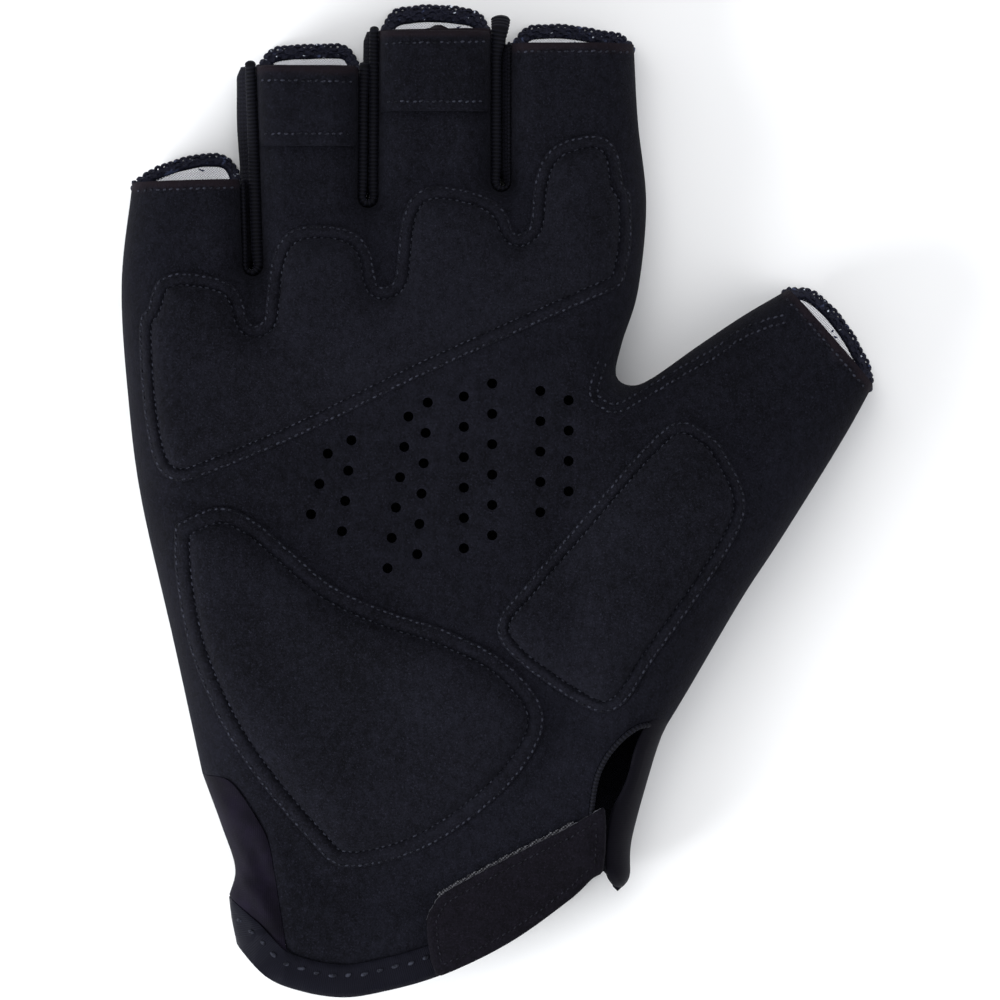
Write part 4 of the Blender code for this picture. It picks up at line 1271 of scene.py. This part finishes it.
def oneLoop(major, minor):
    # one small ring of yarn, modelled once
    bpy.ops.object.select_all(action="DESELECT")
    bpy.ops.mesh.primitive_torus_add(
        major_radius=major, minor_radius=minor, major_segments=9, minor_segments=5, location=(0, 0, 0)
    )
    return takeShape()


def takeShape():
    # points and faces of the active object, which is then taken away
    maker = bpy.context.object
    points = np.array([tuple(vertex.co) for vertex in maker.data.vertices])
    faces = [tuple(face.vertices) for face in maker.data.polygons]
    bpy.data.objects.remove(maker, do_unlink=True)
    return points, faces


def scattered(shape, places):
    # copies of a small shape: each place is a middle and its three directions
    points, faces = shape
    allPoints, allFaces = [], []
    for number, (middle, along, side, up) in enumerate(places):
        frameOf = np.array([along, side, up])
        allPoints.append(points @ frameOf + middle)
        allFaces += [tuple(corner + number * len(points) for corner in face) for face in faces]
    return np.vstack(allPoints), allFaces


loopShape = oneLoop(trim["loop"], trim["yarn"])
outerEdges, innerEdges = hemmedEdges(shorter=0.0), hemmedEdges()
for k, finger in enumerate(fingers):
    width = hemRows[finger][1]
    rim = hem(outerEdges[k][-1], outerEdges[k + 1][0], finger, 60)
    foot = hem(innerEdges[k][-1], innerEdges[k + 1][0], finger, 60)
    core = evenly(rim * 0.36 + foot * 0.64, 0.00030)[1:-1]
    level = backBase(core)
    path = np.column_stack([core, level + trim["height"] / 2])
    across = np.column_stack([rightNormals(core), np.zeros(len(core))])
    tube = ribbedTube(path, across, width * 0.36, trim["height"] / 2, 10, trim["pitch"] / 2, 0.08, 1.2)
    places = []
    loopRows = ((0.84, 0.62), (0.55, 1.0), (0.26, 1.05)) if width > 0.0025 else ((0.82, 0.62), (0.40, 1.0))
    for rank, (share, lift) in enumerate(loopRows):
        base = rim * share + foot * (1 - share)
        knots = evenly(base, trim["pitch"] / 2)[1 + rank % 2 : -1 : 2]
        heights = backBase(knots)
        for number, (knot, height) in enumerate(zip(knots, heights)):
            ahead = knots[min(number + 1, len(knots) - 1)] - knots[max(number - 1, 0)]
            rise = heights[min(number + 1, len(knots) - 1)] - heights[max(number - 1, 0)]
            along = np.array([*ahead, rise]) / np.linalg.norm([*ahead, rise])
            side = np.array([along[1], -along[0], 0])
            side /= np.linalg.norm(side)
            up = np.cross(side, along)
            up *= np.sign(up[2]) or 1
            tilt = 0.95 * math.sin(number * 2.4 + rank)
            side, up = side * math.cos(tilt) + up * math.sin(tilt), up * math.cos(tilt) - side * math.sin(tilt)
            middle = np.array([*knot, height + trim["height"] * lift * 0.8])
            places.append((middle, along * 1.15, side * 1.05, up * 1.2))
    loops = scattered(loopShape, places)
    count = len(tube[0])
    faces = tube[1] + [tuple(corner + count for corner in face) for face in loops[1]]
    piece = newPiece("trim_" + finger, np.vstack([tube[0], loops[0]]), faces, [finish["trim"]])
    turnOut(piece)
    belong(piece, ["finger_trim_" + finger])


def wrapped(name, palmOutlineHere, backOutlineHere, palmHeight, backHeight, materials, wall, clearPalm, clearBack):
    # palm side and back of one piece, joined where they meet on the side seam
    parts, faceParts, uvParts = [], [], []
    first = 0
    for outline, clearOf, height, flip in (
        (palmOutlineHere, clearPalm, palmHeight, 1), (backOutlineHere, clearBack, backHeight, -1)
    ):
        plan, faces = layOut(outline, clearOf, clear=0.00035)
        gap = distances(plan, sides)
        level = height(plan, gap)
        level = np.where(gap < 0.00002, thickness(plan) * glove["seamShare"], level)
        parts.append(np.column_stack([plan, level]))
        faceParts += (faces[:, ::flip] + first).tolist()
        uvParts.append(unrolled(plan) * (1, flip))
        first += len(plan)
    piece = newPiece(name, np.vstack(parts), faceParts, materials, np.vstack(uvParts))
    takeUp(piece)
    bpy.ops.object.mode_set(mode="EDIT")
    bpy.ops.mesh.select_all(action="SELECT")
    bpy.ops.mesh.remove_doubles(threshold=0.00003)
    bpy.ops.object.mode_set(mode="OBJECT")
    giveWall(piece, wall)
    return piece


print("gusset and cuff")
gusset = {"wall": 0.0011, "puff": 0.0006}
gussetTop = gussetLine(0.0)
gussetSideLine = cut(smoothLine(gussetSide), start=glove["gap"])
gussetFoot = between(movedRight(cuffTop, 0.0001), gussetTop[0], gussetSideLine[0])
gussetOutline = join(gussetSideLine, gussetTop[::-1][1:], gussetFoot[1:-1])


def gussetPalm(points, gap):
    seam = distances(points, [gussetTop, cuffTop])
    calm = 1 - swell(gap, glove["sideRound"] / 2)
    folds = wander(points * (1.6, 0.6), 0.0045, 4.2) * 0.0003 + softFolds(points, gussetFolds)
    puff = gusset["puff"] * (1 - swell(seam, 0.004)) + folds * 1.7 * ease(seam / 0.002)
    return palmBase(points, gap) + (puff - 0.0005) * calm


sideGusset = wrapped(
    "sideGusset", gussetOutline, gussetOutline, gussetPalm, lambda points, gap: backBase(points),
    [finish["jersey"]], gusset["wall"], [gussetTop, cuffTop], [gussetTop, cuffTop],
)
belong(sideGusset, ["side_gusset"])

cuffBack = cuffTop[::-1]
ventBelow = cut(ventLine, start=crossing(ventLine, cuffBack))
cuffPalmTop = between(cuffBack, cuffBack[0], ventBelow[0])
palmMouth = between(mouth, ventBelow[-1], mouth[-1])
flapTip = between(sides[2], cuffBack[-1], sides[2][-1])
corner = smoothLine(cuffCorner)
cuffPalmOutline = join(corner, cuffPalmTop, palmMouth)
cuffBackOutline = join(corner, cuffBack, flapTip[1:], mouth[1:])


def cuffPalm(points, gap):
    upper, lower = distances(points, [cuffTop]), distances(points, [mouth])
    calm = 1 - swell(gap, glove["sideRound"] / 3)
    rise = cuff["crown"] * (1 - swell(upper, 0.0010)) + lineDip(upper - cuff["stitchGap"], 0.0009, 0.00018) * calm
    rise += 0.0002 * np.sin(np.clip((upper - cuff["stitchGap"]) / 0.004, 0, 1) * math.pi)
    rise += wander(points, 0.005, 1.7) * 0.00015 * calm
    return palmBase(points, gap) + rise * np.maximum(calm, 0.3) - 0.0011 * swell(lower, 0.0013) * calm


def cuffBackside(points, gap):
    lower = distances(points, [mouth])
    return backBase(points) + 0.0009 * swell(lower, 0.0011) * (1 - swell(gap, 0.003))


cuffBinding = wrapped(
    "cuffBinding", cuffPalmOutline, cuffBackOutline, cuffPalm, cuffBackside, [finish["cuff"]], cuff["wall"],
    [cuffTop, mouth, ventBelow], [cuffTop, mouth],
)
belong(cuffBinding, ["cuff_binding"])


def alongLine(points, line):
    # how far along a line each point lies, and how far from it
    fine = evenly(line, 0.0006)
    lengths = arcLengths(fine)
    near = nearestOf(points, fine)
    best = np.linalg.norm(points - fine[near], axis=1)
    stations = lengths[near]
    for step in (-1, 1):
        other = np.clip(near + step, 0, len(fine) - 1)
        run = fine[other] - fine[near]
        share = ((points - fine[near]) * run).sum(1) / np.maximum((run**2).sum(1), 1e-18)
        share = np.clip(share, 0, 1)
        gap = np.linalg.norm(points - fine[near] - share[:, None] * run, axis=1)
        closer = gap < best
        stations = np.where(closer, lengths[near] + share * (lengths[other] - lengths[near]), stations)
        best = np.where(closer, gap, best)
    return stations, best


def ribbonUv(piece, line):
    # the ribbon's ribs follow its own length, not the plan
    spots = np.array([tuple(vertex.co)[:2] for vertex in piece.data.vertices])
    spots = np.column_stack(alongLine(spots, line)) * 10
    corners = np.zeros(len(piece.data.loops), np.int32)
    piece.data.loops.foreach_get("vertex_index", corners)
    piece.data.uv_layers["cloth"].data.foreach_set("uv", spots[corners].astype(np.float32).ravel())


ribbonUv(cuffBinding, join(mouth, corner))

print("vent, flap and strap")
vent = {"width": 0.0010, "height": 0.0013}
ventFoot = arcLengths(ventLine)[-1] - crossing(ventLine, cuffTop)
ventCut = evenly(cut(ventLine, 0.0, ventFoot + 0.0006), binding["step"])
normals = rightNormals(ventCut)
plan = ventCut - normals * (0.0001 + vent["width"] / 2)
path = np.column_stack([plan, levels(ventCut)[0] + 0.0001])
tube = ribbedTube(path, np.column_stack([normals, np.zeros(len(normals))]), vent["width"] / 2, vent["height"] / 2,
                  12, binding["rib"], 0.03)
belong(tubePiece("ventBinding", tube, finish["piping"]), ["vent_binding"])

flap = {"rise": 0.0014, "wall": 0.0012}
flapInner = smoothLine(flapEdge)
flapOuter = between(sides[2], flapInner[0], sides[2][-1] + (0, glove["gap"]))
flapOutline = rounded(join(flapOuter, flapInner[::-1]), 2)
plan, faces, gap = softPlan(flapOutline, [0.0002, 0.0005, 0.0009, 0.0014, 0.0020], 0.0008, 0.0024)
base = levels(plan)[0]
low = ease((flapInner[0, 1] - plan[:, 1]) / 0.006)  # it starts under the binding at the top of the vent
roll = flap["rise"] * (1 - swell(gap, 0.0026)) * (0.25 + 0.75 * low)
crease = wander(plan * (1.0, 2.2), 0.006, 8.1) * 0.00012 * ease(gap / 0.001)
top = base + roll + crease + 0.00005
ventFlap = stuffedPiece("ventFlap", plan, faces, base - flap["wall"], top, [finish["flap"]], plan[:, ::-1] * 10)
belong(ventFlap, ["vent_flap"])

strap = {"floor": 0.0011, "thick": 0.0014, "rowGap": 0.0019, "pitch": 0.00125}
strapTable = [(0.077, 0.078), (0.092, 0.094), (0.122, 0.110), (0.260, 0.149), (0.350, 0.173), (0.428, 0.197)]
strapUpper = smoothLine(strapTable, 0.0006)
strapFoot = between(mouth, *place([(0.421, 0.122), (0.090, 0.018)]))
strapOutline = rounded(join(strapUpper, strapFoot), 2)
plan, faces, gap = softPlan(strapOutline, [0.00015, 0.0004, 0.0008, 0.0013, 0.0019, 0.0025], 0.0009, 0.0029)
base = levels(plan)[0]
rise = strap["floor"] + strap["thick"] * (1 - 0.45 * swell(gap, 0.0008))
rise += lineDip(gap - strap["rowGap"], 0.0004, 0.0002)
rise += 0.00025 * np.sin(np.clip((gap - strap["rowGap"]) / 0.008, 0, 1) * math.pi / 2)
rise += wander(plan, 0.009, 6.6) * 0.0002 * ease(gap / 0.002)
strapFloor = base + strap["floor"]
strapPiece = stuffedPiece("closureStrap", plan, faces, strapFloor, base + rise, [finish["strap"]], plan * 10)
belong(strapPiece, ["closure_strap"])

# a thin pale tube along the strap's upper edge: the cut edge, and partly a painted highlight on that rim
strapEdgeHighlight = evenly(cut(strapUpper, 0.0004, 0.0016), 0.0002)
fray = 0.00006 * np.sin(arcLengths(strapEdgeHighlight) / 0.0004) + 0.00004 * np.sin(arcLengths(strapEdgeHighlight) / 0.00017)
normals = rightNormals(strapEdgeHighlight)
plan = strapEdgeHighlight + normals * (0.00006 + fray)[:, None]
path = np.column_stack([plan, levels(strapEdgeHighlight)[0] + strap["floor"] + strap["thick"] * 0.62])
tube = ribbedTube(path, np.column_stack([normals, np.zeros(len(normals))]), 0.00010, 0.00010, 6, 0.0004, 0.12)
belong(tubePiece("strapEdgeHighlight", tube, finish["edge"]), [])

hook = {"width": 0.0075, "shows": 0.00050, "thick": 0.0006, "lift": 0.0003}
hookUpper = evenly(cut(strapUpper, 0.0055, 0.0075), 0.0005)
jag = 0.00012 * np.sin(np.arange(len(hookUpper)) * 2.3) + 0.00008 * np.sin(np.arange(len(hookUpper)) * 0.9)
hookRim = hookUpper - rightNormals(hookUpper) * (hook["shows"] + jag)[:, None]
hookFoot = movedRight(hookUpper, hook["width"] - hook["shows"])
hookOutline = join(hookRim, hookFoot[::-1])
loose = hexField(hookOutline, 0.0009)
loose = loose[inside(loose, hookOutline) & (distances(loose, [closedUp(hookOutline)]) > 0.0004)]
plan, faces = layOut(hookOutline, [], (), [], loose)
hookFloor = levels(plan)[0] + hook["lift"]
hookPiece = stuffedPiece("hookTape", plan, faces, hookFloor, hookFloor + hook["thick"], [finish["hook"]], plan * 10)
belong(hookPiece, ["hook_tape"])

print("stitches")
stitch = {"pitch": 0.00128, "length": 0.00086, "width": 0.00047, "height": 0.00038}


def surfaceOf(pieces):
    # a search tree over what is seen of some pieces
    points, faces, first = [], [], 0
    for piece in pieces:
        points += [tuple(vertex.co) for vertex in piece.data.vertices]
        faces += [tuple(corner + first for corner in face.vertices) for face in piece.data.polygons]
        first += len(piece.data.vertices)
    return BVHTree.FromPolygons(points, faces)


def topOf(surface, spot):
    hit = surface.ray_cast(Vector((spot[0], spot[1], 0.06)), Vector((0, 0, -1)))[0]
    return None if hit is None else np.array(hit)


def oneStitch():
    # one pass of thread: a small rounded grain whose ends go down into the cloth
    bpy.ops.object.select_all(action="DESELECT")
    bpy.ops.mesh.primitive_uv_sphere_add(segments=6, ring_count=5, radius=0.5, location=(0, 0, 0))
    bpy.ops.object.mode_set(mode="EDIT")
    bpy.ops.mesh.select_all(action="SELECT")
    bpy.ops.transform.rotate(value=math.pi / 2, orient_axis="Y", center_override=(0, 0, 0))
    bpy.ops.object.mode_set(mode="OBJECT")
    points, faces = takeShape()
    points[:, 2] -= 0.55 * points[:, 0] ** 2
    return points, faces


stitchShape = oneStitch()


def stitchPlaces(surface, line, pitch, length, width, height, yaw=0.16):
    # no two passes are quite alike: each differs a little in turn, length and place
    lengths = arcLengths(line)
    count = max(2, round(lengths[-1] / pitch))
    stations = (np.arange(count) + 0.5) * lengths[-1] / count
    places = []
    for number, station in enumerate(stations):
        ends = []
        for reach in (-0.45, 0.45):
            spot = [np.interp(station + reach * length, lengths, column) for column in line.T]
            ends.append(topOf(surface, spot))
        if any(end is None for end in ends):
            continue
        run = ends[1] - ends[0]
        if np.linalg.norm(run) > 1.8 * length:
            continue
        along = run / np.linalg.norm(run)
        side = np.cross((0, 0, 1), along)
        side /= np.linalg.norm(side)
        turn = yaw + 0.14 * math.sin(number * 1.7)
        up = np.cross(along, side)
        along, side = along * math.cos(turn) + side * math.sin(turn), side * math.cos(turn) - along * math.sin(turn)
        middle = (ends[0] + ends[1]) / 2 + up * (height * 0.30) + side * (width * 0.16 * math.sin(number * 4.1))
        grown = 1 + 0.16 * math.sin(number * 2.9)
        places.append((middle, along * length * grown, side * width, up * height * grown))
    return places


def sewn(name, rows, surface, pitch, length, width, height, material, slot):
    places = []
    for row in rows:
        places += stitchPlaces(surface, row, pitch, length, width, height)
    points, faces = scattered(stitchShape, places)
    piece = newPiece(name, points, faces, [material])
    takeUp(piece)
    bpy.ops.object.shade_smooth()
    belong(piece, [])
    print(name, len(places), "stitches")


palmTop = surfaceOf([palmPanel, *padded.values(), *bandPieces])
padRowsSewn = []
for pad in padRows.values():
    for gap in (firstRow, firstRow + pad["rows"]):
        padRowsSewn.append(closedUp(insetLine(pad["outline"], gap, 0.0005)))

hemRowsSewn = []
for finger, line in zip(fingers, palmHems):
    gap = tabs[finger]["hemRow"] if finger in tabs else palm["hemFold"]
    hemRowsSewn.append(cut(evenly(movedRight(line, gap), 0.0005), 0.0008, 0.0008))
for tab in tabs.values():
    outline = tabOutline(tab)
    foot = place([(0, tab["foot"])])[0, 1] + tab["footRow"]
    left, right = outline[:, 0].min() + 0.0010, outline[:, 0].max() - 0.0010
    hemRowsSewn.append(evenly(np.array([(left, foot), (right, foot)]), 0.0005))

webTable = [
    (0.410, 0.642), (0.396, 0.620), (0.394, 0.603), (0.414, 0.594), (0.444, 0.589), (0.488, 0.600),
    (0.535, 0.615), (0.590, 0.632), (0.638, 0.646), (0.683, 0.663), (0.731, 0.674), (0.772, 0.680),
]
webLine = smoothLine(webTable, 0.0005)
webSecond = cut(movedRight(webLine, -0.0015))
palmThread = (*stitch.values(), finish["thread"], "piping")
sewn("padStitches", padRowsSewn, palmTop, *palmThread)
sewn("palmStitches", hemRowsSewn + [webLine, webSecond], palmTop, *palmThread)
strapTop = surfaceOf([strapPiece])
strapRow = closedUp(insetLine(strapOutline, strap["rowGap"], 0.0005))
strapStitch = (strap["pitch"], 0.00076, 0.00034, 0.00028)
sewn("strapStitches", [strapRow], strapTop, *strapStitch, finish["strapThread"], "piping")
cuffSurface = surfaceOf([cuffBinding])
cuffRow = movedRight(cuffPalmTop, cuff["stitchGap"])
if distances(cuffRow, [mouth]).mean() > distances(cuffPalmTop, [mouth]).mean():
    cuffRow = movedRight(cuffPalmTop, -cuff["stitchGap"])
cuffStitch = (cuff["stitchPitch"], 0.00140, 0.00082, 0.00050)
sewn("cuffStitches", [cut(cuffRow, 0.003, 0.002)], cuffSurface, *cuffStitch, finish["thread"], "piping")

print("floor")
bpy.ops.object.select_all(action="DESELECT")
bpy.ops.mesh.primitive_plane_add(size=6, location=(0, 0, -0.0002))
floor = bpy.context.object
floor.name = "studioFloor"
material, here, shader = newMaterial("paleFloor")
cloud = here.grain(0.004, 3.0, 0.5)
dress(shader, here, cloud.mix((0.86, 0.86, 0.87, 1), (0.90, 0.90, 0.90, 1)), 0.9, cloud, 0.0001)
floor.data.materials.append(material)
floor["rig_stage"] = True

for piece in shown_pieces():
    if "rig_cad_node" in piece:
        print("CAD node still shown:", piece.name)
